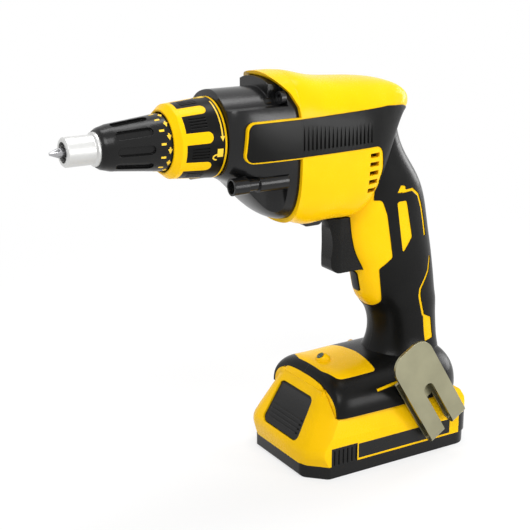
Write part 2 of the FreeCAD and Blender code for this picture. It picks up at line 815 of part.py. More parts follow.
def socket_groove_x():
    """Front of the groove for the spring ring on the spindle socket."""
    return HOLDER_REAR_X + SOCKET_RING_SETBACK


def make_retaining_ring():
    """Open spring ring in the spindle's groove."""
    x = socket_groove_x()
    hoop = ring(x, x + SOCKET_RING, SOCKET_R - SOCKET_RING, SOCKET_R, SPINDLE_Z)
    gap = block(x - FREE, x + SOCKET_RING + FREE, -SOCKET_RING, SOCKET_RING,
                SPINDLE_Z, SPINDLE_Z + 2 * SOCKET_R)
    return hoop.cut(gap)


def dogs(x0, x1, start):
    """Clutch teeth between two planes."""
    sector = ring(x0, x1, DOG_INNER_R, CLUTCH_R, SPINDLE_Z)
    wedge = Part.makeCylinder(2 * CLUTCH_R, x1 - x0, V(x0, 0, SPINDLE_Z), V(1, 0, 0), DOG_ARC)
    return around(sector.common(wedge), DOG_COUNT, SPINDLE_Z, start)


def make_output_spindle():
    """Spindle with its hexagonal socket, clutch disc and journal."""
    profile = [
        (HOLDER_REAR_X, 0), (HOLDER_REAR_X, SOCKET_R), (SOCKET_END_X, SOCKET_R), (SOCKET_END_X, JOURNAL_R),
        (CLUTCH_REAR_X - CLUTCH_DISC, JOURNAL_R), (CLUTCH_REAR_X - CLUTCH_DISC, CLUTCH_R),
        (CLUTCH_REAR_X, CLUTCH_R), (CLUTCH_REAR_X, JOURNAL_R), (SPINDLE_END_X, JOURNAL_R), (SPINDLE_END_X, 0),
    ]
    body = turned(profile, SPINDLE_Z)
    bore = hexagon(HOLDER_REAR_X, SHANK_END_X, BIT_FLATS + 2 * RUN, SPINDLE_Z)
    x = socket_groove_x()
    groove = ring(x, x + SOCKET_RING, SOCKET_R - SOCKET_RING, SOCKET_R, SPINDLE_Z)
    teeth = dogs(CLUTCH_REAR_X, CLUTCH_REAR_X + DOG_HEIGHT, 0.0)
    return join([body.cut(bore).cut(groove)] + teeth)


def make_clutch_gear():
    """Driven gear, free on the spindle, with clutch teeth in front and a hub behind."""
    blank = toothed(GEAR_TEETH, GEAR_R, GEAR_FRONT_X, GEAR_REAR_X, SPINDLE_Z, -90.0 + 180.0 / GEAR_TEETH)
    recess = (GEAR_WIDTH - GEAR_WEB)
    web = ring(GEAR_REAR_X - recess, GEAR_REAR_X, GEAR_HUB_R, GEAR_ROOT_R - GEAR_RIM, SPINDLE_Z)
    hub = rod(GEAR_REAR_X - recess, GEAR_REAR_X + GEAR_HUB, GEAR_HUB_R, SPINDLE_Z)
    bore = rod(GEAR_FRONT_X - DOG_HEIGHT, GEAR_REAR_X + GEAR_HUB, JOURNAL_R + RUN, SPINDLE_Z)
    teeth = dogs(GEAR_FRONT_X - DOG_HEIGHT, GEAR_FRONT_X, 180.0 / DOG_COUNT)
    return join([blank.cut(web), hub] + teeth).cut(bore)


def make_clutch_spring():
    """Spring that holds the clutch open."""
    length = GEAR_FRONT_X - CLUTCH_REAR_X
    radius = (JOURNAL_R + DOG_INNER_R) / 2
    spring = coil(length, radius, CLUTCH_SPRING_WIRE, CLUTCH_SPRING_TURNS)
    spring.translate(V(CLUTCH_REAR_X, 0, SPINDLE_Z))
    return spring


def bearing(x0, width, bore, outer, z):
    """Ball bearing drawn as two races with a shielded gap between them."""
    races = ring(x0, x0 + width, bore, outer, z)
    shield = RACE / 3
    front = ring(x0, x0 + shield, bore + RACE, outer - RACE, z)
    back = ring(x0 + width - shield, x0 + width, bore + RACE, outer - RACE, z)
    return races.cut(front).cut(back)


def make_depth_locator():
    """Bright nosepiece that stops on the board, with a long shank behind its flange."""
    flange_x = CONE_FRONT_X - RUN - NOSE_FLANGE
    shank_end = CONE_FRONT_X + NOSE_SHANK
    profile = [
        (NOSE_FRONT_X, NOSE_MOUTH_R), (NOSE_FRONT_X, NOSE_R - NOSE_EDGE), (NOSE_FRONT_X + NOSE_EDGE, NOSE_R),
        (flange_x - NOSE_EDGE, NOSE_R), (flange_x, NOSE_FLANGE_R), (flange_x + NOSE_FLANGE, NOSE_FLANGE_R),
        (flange_x + NOSE_FLANGE, NOSE_SHANK_R), (shank_end, NOSE_SHANK_R), (shank_end, NOSE_BORE_R),
        (NOSE_FRONT_X + NOSE_MOUTH, NOSE_BORE_R), (NOSE_FRONT_X + NOSE_MOUTH, NOSE_MOUTH_R),
    ]
    return turned(profile, SPINDLE_Z)


def cone_radius(x):
    """Outer radius of the depth cone behind its shoulder."""
    share = (x - CONE_FRONT_X - CONE_SHOULDER) / (CONE_LENGTH - CONE_SHOULDER)
    return CONE_SHOULDER_R + (CONE_REAR_R - CONE_SHOULDER_R) * share


def make_depth_cone():
    """Black depth cone: screws the locator in and out; oblong grip slots run round it."""
    bore = NOSE_SHANK_R + RUN
    seat = CARRIER_R + RUN
    profile = [
        (CONE_FRONT_X, bore), (CONE_FRONT_X, CONE_FRONT_R),
        (CONE_FRONT_X + 0.25 * CONE_SHOULDER, 0.55 * CONE_FRONT_R + 0.45 * CONE_SHOULDER_R),
        (CONE_FRONT_X + CONE_SHOULDER, CONE_SHOULDER_R), (CONE_REAR_X, CONE_REAR_R), (CONE_REAR_X, seat),
        (CARRIER_FRONT_X - FREE, seat), (CARRIER_FRONT_X - FREE, bore),
    ]
    cone = turned(profile, SPINDLE_Z)
    slot_x = CONE_FRONT_X + CONE_SHOULDER + CONE_SLOT_SETBACK
    outline = [(slot_x, -CONE_SLOT_WIDTH / 2, CONE_SLOT_WIDTH / 2.05),
               (slot_x + CONE_SLOT_LENGTH, -CONE_SLOT_WIDTH / 2, CONE_SLOT_WIDTH / 2.05),
               (slot_x + CONE_SLOT_LENGTH, CONE_SLOT_WIDTH / 2, CONE_SLOT_WIDTH / 2.05),
               (slot_x, CONE_SLOT_WIDTH / 2, CONE_SLOT_WIDTH / 2.05)]
    oblong = plan_plate(outline, SPINDLE_Z, SPINDLE_Z + 2 * CONE_REAR_R)
    depth = CONE_SLOT_DEPTH
    floor = turned([(slot_x - FREE, 0), (slot_x - FREE, cone_radius(slot_x) - depth),
                    (slot_x + CONE_SLOT_LENGTH + FREE, cone_radius(slot_x + CONE_SLOT_LENGTH) - depth),
                    (slot_x + CONE_SLOT_LENGTH + FREE, 0)], SPINDLE_Z)
    pockets = around(oblong.cut(floor), CONE_SLOTS, SPINDLE_Z, CONE_SLOT_TURN)
    return cone.cut(pockets)


def seal_x():
    """Middle of the seal groove on the gear case neck."""
    return NECK_FRONT_X + 3 * SEAL_WIRE


def make_nose_carrier():
    """Sleeve that carries the cone and pushes onto the gear case neck."""
    profile = [
        (CARRIER_FRONT_X, CARRIER_BORE_R), (CARRIER_FRONT_X, CARRIER_R), (CONE_REAR_X + RUN, CARRIER_R),
        (CONE_REAR_X + RUN, SKIRT_R), (SKIRT_REAR_X, SKIRT_R), (SKIRT_REAR_X, SKIRT_BORE_R),
        (NECK_FRONT_X - RUN, SKIRT_BORE_R), (NECK_FRONT_X - RUN, CARRIER_BORE_R),
    ]
    return turned(profile, SPINDLE_Z)


def make_nose_seal():
    """Ring in the neck's groove that grips the carrier."""
    hoop = Part.makeTorus(NECK_R - SEAL_WIRE / 2, SEAL_WIRE / 2, V(seal_x(), 0, SPINDLE_Z), V(1, 0, 0))
    return hoop


def collar_radius(x):
    """Outer radius of the lock collar behind its front chamfer."""
    front = COLLAR_FRONT_X + COLLAR_CHAMFER
    return COLLAR_FRONT_R + (COLLAR_REAR_R - COLLAR_FRONT_R) * (x - front) / (COLLAR_REAR_X - front)


def collar_bore(x0, x1):
    """Space that the carrier's skirt and the gear case seat take inside the collar."""
    seat_front = CASE_FRONT_X - COLLAR_SEAT - FREE / 2
    skirt = rod(x0, seat_front, SKIRT_R + FREE, SPINDLE_Z)
    seat = rod(seat_front, x1, COLLAR_SEAT_R + RUN, SPINDLE_Z)
    return skirt.fuse(seat)


def collar_fingers(extra):
    """The yellow fingers, wider by an extra on each side."""
    half = FINGER_WIDTH / 2 + extra
    x0 = COLLAR_FRONT_X + COLLAR_CHAMFER
    tip = FINGER_END_X + extra
    outline = [(x0, -half, 0), (tip, -half, FINGER_TIP * half), (tip, half, FINGER_TIP * half), (x0, half, 0)]
    finger = plan_plate(outline, SPINDLE_Z, SPINDLE_Z + 2 * COLLAR_REAR_R)
    return Part.makeCompound(around(finger, FINGERS, SPINDLE_Z, FINGER_TURN))


def collar_shape():
    """The whole collar before it is split into its two mouldings."""
    front = COLLAR_FRONT_X + COLLAR_CHAMFER
    return turned([(COLLAR_FRONT_X, 0), (COLLAR_FRONT_X, COLLAR_MOUTH_R + FREE), (front, COLLAR_FRONT_R),
                   (COLLAR_REAR_X, COLLAR_REAR_R), (COLLAR_REAR_X, 0)], SPINDLE_Z)


def grip_space():
    """Where the black moulding lies on the collar."""
    x0 = COLLAR_FRONT_X + COLLAR_CHAMFER + COLLAR_RING
    x1 = COLLAR_REAR_X - COLLAR_BACK_RING
    sleeve = SKIRT_R + FREE + COLLAR_SLEEVE
    return ring(x0, x1, sleeve, 2 * COLLAR_REAR_R, SPINDLE_Z).cut(collar_fingers(0.0))


def make_lock_collar():
    """Yellow collar with its front ring, fingers and thin rear ring."""
    bore = collar_bore(COLLAR_FRONT_X, COLLAR_REAR_X)
    return collar_shape().cut(bore).cut(grip_space())


def make_collar_grip():
    """Black grip between the fingers, with short grooves along each pad."""
    grip = collar_shape().common(grip_space())
    x0 = COLLAR_FRONT_X + COLLAR_CHAMFER + COLLAR_RING + PAD_RIB_SETBACK
    x1 = x0 + PAD_RIB_LENGTH
    floor = turned([(x0 - FREE, 0), (x0 - FREE, collar_radius(x0 - FREE) - PAD_RIB_DEPTH),
                    (x1 + FREE, collar_radius(x1 + FREE) - PAD_RIB_DEPTH), (x1 + FREE, 0)], SPINDLE_Z)
    half = PAD_RIB_WIDTH / 2
    blade = block(x0, x1, -half, half, SPINDLE_Z, SPINDLE_Z + 2 * COLLAR_REAR_R).cut(floor)
    grooves = []
    for i in range(PAD_RIBS):
        lead = FINGER_TURN + 180.0 / FINGERS + PAD_RIB_TURN * (i - (PAD_RIBS - 1) / 2)
        grooves += around(blade, FINGERS, SPINDLE_Z, lead)
    return grip.cut(grooves)


# Gear case

def case_screw_axes():
    """Places of the four gear case screws: y, z and the x under the head."""
    return [(side * y, z, x) for y, z, x in CASE_SCREWS for side in (-1, 1)]


def case_scoops(extra):
    """Recesses in both sides of the gear case's belly, grown by an extra."""
    x0 = SCOOP_FRONT_X - extra
    x1 = SCOOP_REAR_X + extra
    y = SCOOP_Y - extra
    outline = [(x0, y, SCOOP_R), (x1, y, SCOOP_R), (x1, BIG, 0), (x0, BIG, 0)]
    return both_sides(plan_plate(outline, -BIG, SCOOP_TOP_Z + extra))


def case_crown(extra):
    """What is cut away round the top of the gear case: shelves beside it and pockets for the upper screws."""
    low = CROWN_Z - extra
    core = rod(2 * CASE_FRONT_X, BARREL_FRONT_X, CROWN_R - extra, SPINDLE_Z)
    pocket_x = CASE_SCREWS[0][2] + extra
    pocket = block(2 * CASE_FRONT_X, pocket_x, RIM_POCKET_Y - extra, BIG, low, BIG)
    shelf = block(2 * CASE_FRONT_X, RIM_FRONT_X + extra, -BIG, BIG, low, BIG)
    return [piece.cut(core) for piece in [shelf] + both_sides(pocket)]


def make_gear_case():
    """Black casting: bulkhead and neck in front, hollow behind, with outer screw bosses."""
    bosses = [rod(x, BARREL_FRONT_X - RUN, CASE_BOSS_R, z, y) for y, z, x in case_screw_axes()]
    stems = []
    for y, z, x in case_screw_axes()[2:]:
        stems.append(rod(x, SCOOP_REAR_X, CASE_STEM_R, z, y))
        stems.append(rod(CASE_SOCKET_X, SCOOP_REAR_X, CASE_BOSS_R, z, y))
        stems.append(rod(x - CASE_CUP, x + CASE_SCREW_HEAD, CASE_BOSS_R, z, y))
    shell = case_skin(0.0).cut(case_scoops(0.0) + case_crown(0.0)).multiFuse(stems)
    front = block(CASE_NOSE_X, BIG, -BIG, BIG, -BIG, BIG)
    walls = case_scoops(CASE_THIN_WALL) + case_crown(CASE_THIN_WALL)
    hollow = case_skin(CASE_WALL).common(front).cut(bosses + walls)
    chamber_x = CLUTCH_REAR_X - CLUTCH_DISC - FREE
    gear_room = rod(GEAR_FRONT_X - FREE, PLATE_FRONT_X, GEAR_TIP_R + FREE, SPINDLE_Z)
    clutch_room = rod(chamber_x, GEAR_FRONT_X, CLUTCH_R + FREE, SPINDLE_Z)
    seat = rod(CASE_FRONT_X - COLLAR_SEAT, CASE_NOSE_X, COLLAR_SEAT_R, SPINDLE_Z)
    neck = rod(NECK_FRONT_X, CASE_NOSE_X, NECK_R, SPINDLE_Z)
    lead = rod(NECK_FRONT_X, FRONT_BEARING_X, SOCKET_R + FREE, SPINDLE_Z)
    race = rod(FRONT_BEARING_X, chamber_x, FRONT_BEARING_R, SPINDLE_Z)
    groove = ring(seal_x() - SEAL_WIRE / 2, seal_x() + SEAL_WIRE / 2,
                  NECK_R - SEAL_WIRE, 2 * NECK_R, SPINDLE_Z)
    case = shell.cut(hollow).multiFuse([seat, neck])
    case = case.cut([gear_room, clutch_room, lead, race, groove])
    holes = []
    for y, z, x in case_screw_axes():
        holes.append(rod(x, BARREL_FRONT_X, CASE_SCREW_R, z, y))
        holes.append(rod(x - 2 * BEARING_PLATE, x, CASE_SCREW_HEAD_R + TOUCH, z, y))
    return main_body(case.cut(holes))


def make_gear_case_screws():
    """Four screws from the gear case into the housing halves."""
    screws = []
    for y, z, x in case_screw_axes():
        shank = rod(x, CASE_SCREW_END_X, CASE_SCREW_R, z, y)
        head = rod(x - CASE_SCREW_HEAD, x, CASE_SCREW_HEAD_R, z, y)
        drive = hexagon(x - CASE_SCREW_HEAD, x - CASE_SCREW_HEAD / 2, CASE_SCREW_HEAD_R, z)
        drive.translate(V(0, y, 0))
        screws.append(shank.fuse(head).cut(drive))
    return Part.makeCompound(screws)


def make_bearing_plate():
    """Plate that closes the gear case and carries the spindle's tail and the motor's front bearing."""
    slab = block(PLATE_FRONT_X, PLATE_REAR_X, -BIG, BIG, -BIG, BIG)
    plate = case_skin(CASE_WALL + TOUCH).common(slab)
    bush = rod(PLATE_FRONT_X, PLATE_REAR_X, JOURNAL_R + RUN + BUSH_WALL, SPINDLE_Z)
    race = rod(PLATE_FRONT_X, PLATE_REAR_X, MOTOR_BEARING_R, MOTOR_Z)
    rooms = [rod(PLATE_FRONT_X, PLATE_REAR_X, CASE_BOSS_R + TOUCH, z, y) for y, z, x in case_screw_axes()]
    walls = case_crown(CASE_THIN_WALL + TOUCH) + case_scoops(CASE_THIN_WALL + TOUCH)
    return main_body(plate.cut([bush, race] + rooms + walls))


# Motor

def make_rotor_shaft():
    """Stepped motor shaft."""
    tail_x = TAIL_BEARING_X
    return turned([(GEAR_FRONT_X, 0), (GEAR_FRONT_X, SHAFT_R), (tail_x, SHAFT_R), (tail_x, SHAFT_TAIL_R),
                   (tail_x + TAIL_BEARING_WIDTH, SHAFT_TAIL_R), (tail_x + TAIL_BEARING_WIDTH, 0)], MOTOR_Z)


def make_motor_pinion():
    """Pinion on the motor shaft."""
    blank = toothed(PINION_TEETH, PINION_R, GEAR_FRONT_X, GEAR_REAR_X, MOTOR_Z, 90.0)
    return blank.cut(rod(GEAR_FRONT_X, GEAR_REAR_X, SHAFT_R, MOTOR_Z))


def magnet_slots():
    """Slots for the rotor's magnets."""
    half = MAGNET_WIDTH / 2
    low = ROTOR_R - 2 * MAGNET_SLOT
    bar = block(STATOR_FRONT_X, STATOR_REAR_X, -half, half, MOTOR_Z + low - MAGNET_SLOT, MOTOR_Z + low)
    return Part.makeCompound(around(bar, MAGNETS, MOTOR_Z))


def make_rotor_core():
    """Laminated rotor with slots for magnets."""
    core = ring(STATOR_FRONT_X, STATOR_REAR_X, SHAFT_R, ROTOR_R, MOTOR_Z)
    return core.cut(magnet_slots())


def stator_tooth(width, r0, r1, x0, x1):
    """One stator tooth, or the space it takes, pointing up from the motor axis."""
    return block(x0, x1, -width / 2, width / 2, MOTOR_Z + r0, MOTOR_Z + r1)


def make_stator():
    """Laminated stator: yoke and inward teeth."""
    bore = rod(STATOR_FRONT_X, STATOR_REAR_X, ROTOR_R + AIR_GAP, MOTOR_Z)
    yoke = ring(STATOR_FRONT_X, STATOR_REAR_X, STATOR_R - STATOR_YOKE, STATOR_R, MOTOR_Z)
    reach = STATOR_R - STATOR_YOKE / 2
    tooth = stator_tooth(STATOR_TOOTH, ROTOR_R, reach, STATOR_FRONT_X, STATOR_REAR_X)
    return join([yoke] + around(tooth, STATOR_TEETH, MOTOR_Z)).cut(bore)


def make_stator_coils():
    """A copper coil round each stator tooth."""
    low = ROTOR_R + AIR_GAP + COIL_SHOE
    high = STATOR_R - STATOR_YOKE - COIL_SHOE
    outer = stator_tooth(STATOR_TOOTH + 2 * COIL_THICKNESS, low, high,
                         STATOR_FRONT_X - COIL_OVERHANG, STATOR_REAR_X + COIL_OVERHANG)
    inner = stator_tooth(STATOR_TOOTH, low, high, STATOR_FRONT_X, STATOR_REAR_X)
    return Part.makeCompound(around(outer.cut(inner), STATOR_TEETH, MOTOR_Z))


def make_motor_fan():
    """Fan behind the motor, beside the vents."""
    hub = rod(FAN_FRONT_X, FAN_FRONT_X + FAN_WIDTH, FAN_HUB_R, MOTOR_Z)
    disc = rod(FAN_FRONT_X, FAN_FRONT_X + FAN_DISC, FAN_R, MOTOR_Z)
    blade = block(FAN_FRONT_X, FAN_FRONT_X + FAN_WIDTH, -FAN_DISC / 2, FAN_DISC / 2,
                  MOTOR_Z + FAN_HUB_R - FAN_DISC, MOTOR_Z + FAN_R - FAN_DISC)
    fan = join([hub, disc] + around(blade, FAN_BLADES, MOTOR_Z))
    return fan.cut(rod(FAN_FRONT_X, FAN_FRONT_X + FAN_WIDTH, SHAFT_R, MOTOR_Z))


def make_control_module():
    """Motor controller on the shelf over the motor, with cooling fins."""
    half = MODULE_WIDTH / 2
    top = SHELF_Z + MODULE_HEIGHT
    body = block(MODULE_FRONT_X, MODULE_FRONT_X + MODULE_LENGTH, -half, half, SHELF_Z, top)
    step = (MODULE_WIDTH - MODULE_FIN) / (MODULE_FINS - 1)
    gaps = []
    for i in range(MODULE_FINS - 1):
        y = -half + MODULE_FIN + step * i
        gaps.append(block(MODULE_FRONT_X, MODULE_FRONT_X + MODULE_LENGTH, y, y + step - MODULE_FIN,
                          top - MODULE_HEIGHT / 4, top))
    return body.cut(gaps)


# Housing halves and their rubber

def housing_ribs():
    """Ribs inside the barrel: two round the stator, one for the tail bearing."""
    low = block(-BIG, BIG, -BIG, BIG, 0, SHELF_Z)
    fronts = [STATOR_FRONT_X + STATOR_RIB_INSET, STATOR_REAR_X - STATOR_RIB_INSET - STATOR_RIB]
    slabs = [block(x, x + STATOR_RIB, -BIG, BIG, -BIG, BIG).cut(rod(x, x + STATOR_RIB, STATOR_R, MOTOR_Z))
             for x in fronts]
    x = TAIL_BEARING_X
    tail = block(x, x + TAIL_RIB, -BIG, BIG, -BIG, TAIL_RIB_TOP_Z)
    tail = tail.cut(rod(x, x + TAIL_BEARING_WIDTH, TAIL_BEARING_R, MOTOR_Z))
    return [rib.common(low) for rib in slabs + [tail]]


def half_bosses():
    """Screw bosses across the cavity."""
    bosses = [cross_rod(x, z, HALF_BOSS_R, -BIG, BIG) for x, z, y in HALF_SCREWS]
    for y, z, x in case_screw_axes():
        bosses.append(rod(BARREL_FRONT_X, STATOR_FRONT_X - FREE, CASE_BOSS_R, z, y))
    floor = LOCK_REAR_X + LOCK_SPRING_LENGTH
    bosses.append(block(floor, floor + LOCK_POST, -BIG, BIG, LOCK_Z - LOCK_POST_HEIGHT / 2,
                        LOCK_Z + LOCK_POST_HEIGHT / 2))
    return bosses


def trigger_outline(grow, run):
    """Side view of the trigger, grown by a gap and lengthened rearwards by a run."""
    return [
        (TRIGGER_FRONT_X - grow, TRIGGER_TOP_Z + grow, 2.0 + grow),
        (TRIGGER_REAR_X + run, TRIGGER_TOP_Z + grow, 0),
        (TRIGGER_REAR_X + run, TRIGGER_BOTTOM_Z - grow, 0),
        (TRIGGER_FRONT_X + TRIGGER_LEAN - grow, TRIGGER_BOTTOM_Z - grow, 4.0 + grow),
    ]


def battery_pocket():
    """Space under the foot for the battery's tower, with rails left on both sides."""
    wide = block(-BIG, POCKET_REAR_X, -POCKET_HALF_WIDTH, POCKET_HALF_WIDTH, 0, POCKET_TOP_Z)
    narrow = TOWER_NECK_HALF_WIDTH + POCKET_CLEAR
    rails = [block(-BIG, POCKET_REAR_X, narrow, BIG, RAIL_BOTTOM_Z, RAIL_TOP_Z),
             block(-BIG, POCKET_REAR_X, -BIG, -narrow, RAIL_BOTTOM_Z, RAIL_TOP_Z)]
    return wide.cut(rails)


def lock_bar(extra, x1):
    """The lock button's outline in front view, grown by an extra and carried back to a plane."""
    half = LOCK_WIDTH / 2 + extra
    rise = LOCK_HEIGHT / 2 + extra
    corners = [(-half, LOCK_Z - rise, 2.0), (half, LOCK_Z - rise, 2.0), (half, LOCK_Z + rise, 2.0),
               (-half, LOCK_Z + rise, 2.0)]
    return front_plate(corners, HANDLE[0][1], x1)


def direction_top_z():
    """Top of the direction knob, just under the motor."""
    return MOTOR_Z - STATOR_R - FREE


def direction_bar(extra, half_width):
    """The direction knob's side view, grown by an extra."""
    half = DIRECTION_LENGTH / 2 + extra
    low = DIRECTION_BOTTOM_Z - extra
    corners = [(DIRECTION_X - half, low, 3.0), (DIRECTION_X + half, low, 3.0),
               (DIRECTION_X + half, direction_top_z(), 0), (DIRECTION_X - half, direction_top_z(), 0)]
    return side_plate(corners, -half_width, half_width)


def hook_place(along, y, across=0.0):
    """A point on the belt hook, from its top, along its length and across it."""
    tilt = math.radians(HOOK_TILT)
    return V(HOOK_TOP_X + along * math.cos(tilt) + across * math.sin(tilt), y,
             HOOK_TOP_Z - along * math.sin(tilt) + across * math.cos(tilt))


def hook_back_y():
    """Face of the belt hook that lies on its boss."""
    return HOOK_FACE_Y + 2 * HOOK_SHEET + HOOK_GAP


def work_light_axis():
    """Direction that the work light shines: forwards and up to the bit."""
    tilt = math.radians(LIGHT_TILT)
    return V(-math.cos(tilt), 0, math.sin(tilt))


def light_seat():
    """Centre of the work light's hood on the foot's crest."""
    crest = [s[1] for s in FOOT if s[0] == max(t[0] for t in FOOT if t[0] <= LIGHT_X)][0]
    return V(LIGHT_X, 0, crest)


def light_cylinder(radius, start, length):
    """A cylinder along the light's axis."""
    axis = work_light_axis()
    return Part.makeCylinder(radius, length, light_seat() + axis * start, axis)


def panel_solid():
    """Yellow foot panel with the light's hood, before the light is cut from it."""
    prism = plan_plate(PANEL, FOOT_BASE_Z, BIG)
    plate = foot_skin(-PROUD, FOOT_BASE_Z).common(prism).cut(foot_skin(RUBBER, FOOT_BASE_Z))
    hood = Part.makeSphere(LIGHT_HOOD_R, light_seat())
    base = block(-BIG, BIG, -BIG, BIG, -BIG, light_seat().z)
    return plate.fuse(hood.cut(base)).removeSplitter()


def make_foot_panel():
    """Yellow panel on the foot with the work light's hood."""
    eye = light_cylinder(LIGHT_LENS_R + RUN, -LIGHT_BOARD, 2 * LIGHT_HOOD_R)
    return panel_solid().cut(eye)


def make_work_light_lens():
    """Clear lens in the hood."""
    return light_cylinder(LIGHT_LENS_R, 0.0, LIGHT_LENS_LENGTH)


def left_prism(corners):
    """A side view outline carried over the left half."""
    return side_plate(corners, -BIG, 0)


def grip_region():
    """Side view of the left rubber, with the yellow windows and lines left out."""
    windows = [left_prism(WINDOW_UPPER), left_prism(WINDOW_LOWER), left_prism(WINDOW_TAG),
               band(LINE_UPPER, LINE_WIDTH, -BIG, 0), band(LINE_LOWER, LINE_WIDTH, -BIG, 0),
               band(LINE_FOOT, FOOT_LINE_WIDTH, -BIG, 0)]
    return left_prism(GRIP).cut(windows)


def panel_space():
    """What the foot panel takes out of the foot's skin."""
    prism = plan_plate(PANEL, FOOT_BASE_Z, BIG)
    return foot_skin(-2 * PROUD, FOOT_BASE_Z).common(prism).cut(foot_skin(RUBBER, FOOT_BASE_Z))


def left_rubber():
    """Rubber over the left half: on the body behind the barrel's front, on the tongue ahead of it."""
    region = grip_region()
    behind = region.common(block(BARREL_FRONT_X, BIG, -BIG, BIG, -BIG, BIG))
    ahead = region.common(block(-BIG, BARREL_FRONT_X, -BIG, BIG, SPINDLE_Z - STATOR_R, BIG))
    body = body_skin(-PROUD).common(behind).cut(body_skin(RUBBER))
    tongue = case_skin(-SKIN - PROUD).common(ahead).cut(case_skin(-SKIN + RUBBER))
    rubber = body.fuse(tongue).cut([plan_plate(PANEL, FOOT_BASE_Z, BIG), battery_pocket()])
    return main_body(rubber)


def left_outer():
    """Skin of the left half, with the tongue and the visor over the gear case."""
    left = block(-BIG, BIG, -BIG, 0, -BIG, BIG)
    ahead = block(-BIG, BARREL_FRONT_X, -BIG, 0, -BIG, BIG)
    forward = left_prism(TONGUE).fuse(left_prism(VISOR)).common(ahead)
    skin = case_skin(-SKIN).common(forward).cut(case_skin(-TOUCH))
    return body_skin(0.0).common(left).fuse(skin)


def left_hollow():
    """Inside of the left half, with its ribs and bosses left standing."""
    floor = POCKET_TOP_Z + BLOCK_HEIGHT
    left = block(-BIG, BIG, -BIG, 0, floor, BIG)
    foot = foot_skin(SHELL + RUBBER, FOOT_BASE_Z)
    cavity = barrel_skin(SHELL).multiFuse([handle_skin(SHELL), foot]).common(left)
    return cavity.cut(housing_ribs() + half_bosses())


def left_openings():
    """Openings through the left half for the pieces that pass its skin."""
    run = TRIGGER_TRAVEL + SWITCH_GAP
    shift = DIRECTION_WIDTH / 2 + DIRECTION_TRAVEL + FREE
    openings = [battery_pocket(), direction_bar(FREE, shift)]
    openings.append(lock_bar(FREE, LOCK_REAR_X + LOCK_SPRING_LENGTH))
    openings.append(side_plate(trigger_outline(FREE, run), -TRIGGER_HALF_WIDTH - FREE, BIG))
    half = BLOCK_WIDTH / 2 + TOUCH
    openings.append(block(BLADE_REAR_X - BLOCK_LENGTH - TOUCH, BLADE_REAR_X + TOUCH, -half, half,
                          POCKET_TOP_Z, POCKET_TOP_Z + BLOCK_HEIGHT + TOUCH))
    for i in range(VENTS):
        z = VENT_TOP_Z - VENT_STEP * i
        openings.append(block(VENT_FRONT_X, VENT_FRONT_X + VENT_LENGTH, -BIG, -FAN_R,
                              z - VENT_HEIGHT / 2, z + VENT_HEIGHT / 2))
    for y, z, x in case_screw_axes():
        openings.append(rod(BARREL_FRONT_X, CASE_SCREW_END_X, CASE_SCREW_R, z, y))
    openings.append(light_cylinder(LIGHT_LENS_R + FREE, -LIGHT_HOOD_R, 2 * LIGHT_HOOD_R))
    return openings


def barrel_half_width(x):
    """Half width of the barrel at a place along it, between its stations."""
    for i in range(len(BARREL) - 1):
        front = BARREL[i]
        rear = BARREL[i + 1]
        if front[0] <= x <= rear[0]:
            share = (x - front[0]) / (rear[0] - front[0])
            return front[3] + (rear[3] - front[3]) * share
    return BARREL[0][3]


def grip_grooves():
    """Fine upright grooves in the side grips, flat at the bottom, which run out at their ends."""
    grooves = []
    for i in range(GRIP_RIBS):
        x = GRIP_RIB_FRONT_X + GRIP_RIB_STEP * i
        floor = barrel_half_width(x) - GRIP_RIB_DEPTH
        grooves.append(block(x, x + GRIP_RIB_WIDTH, -BIG, -floor, GRIP_RIB_BOTTOM_Z, GRIP_RIB_TOP_Z))
    return grooves


def half_screw_holes(side):
    """Holes for the housing screws: threads on the left, heads on the right."""
    holes = []
    for x, z, seat in HALF_SCREWS:
        if side < 0:
            holes.append(cross_rod(x, z, HALF_SCREW_R, -HALF_SCREW_REACH, 0))
        else:
            holes.append(cross_rod(x, z, HALF_SCREW_R, 0, seat))
            holes.append(cross_rod(x, z, HALF_SCREW_HEAD_R + FREE, seat, BIG))
    return holes


def make_housing_screws():
    """Screws through the right half into the left one."""
    screws = []
    for x, z, seat in HALF_SCREWS:
        shank = cross_rod(x, z, HALF_SCREW_R, -HALF_SCREW_REACH, seat)
        head = cross_rod(x, z, HALF_SCREW_HEAD_R, seat, seat + HALF_SCREW_HEAD)
        drive = cross_rod(x, z, HALF_SCREW_R, seat + HALF_SCREW_HEAD / 2, seat + HALF_SCREW_HEAD)
        screws.append(shank.fuse(head).cut(drive))
    return Part.makeCompound(screws)


def hook_boss():
    """Boss on the left of the foot that the belt hook is screwed to."""
    seat = hook_place(HOOK_SCREW_AT, hook_back_y())
    return cross_rod(seat.x, seat.z, HOOK_BOSS_R, seat.y, -POCKET_HALF_WIDTH - TOUCH)


def spare_seat():
    """Sunk flat on the right of the foot, where the belt hook's insert is for left-handed use."""
    seat = hook_place(HOOK_SCREW_AT, SPARE_SEAT_Y)
    return cross_rod(seat.x, seat.z, HOOK_BOSS_R, seat.y, BIG)


def insert_rods(radius, length):
    """Rods on the axis of the belt hook's screw, inwards from the left boss and the right seat."""
    left = hook_place(HOOK_SCREW_AT, hook_back_y())
    right = hook_place(HOOK_SCREW_AT, SPARE_SEAT_Y)
    return [cross_rod(left.x, left.z, radius, left.y, left.y + length),
            cross_rod(right.x, right.z, radius, right.y - length, right.y)]


def make_hook_inserts():
    """Brass threaded inserts, one each side."""
    return Part.makeCompound([a.cut(b) for a, b in zip(insert_rods(INSERT_R, INSERT_LENGTH),
                                                      insert_rods(HOOK_SCREW_R, INSERT_LENGTH))])


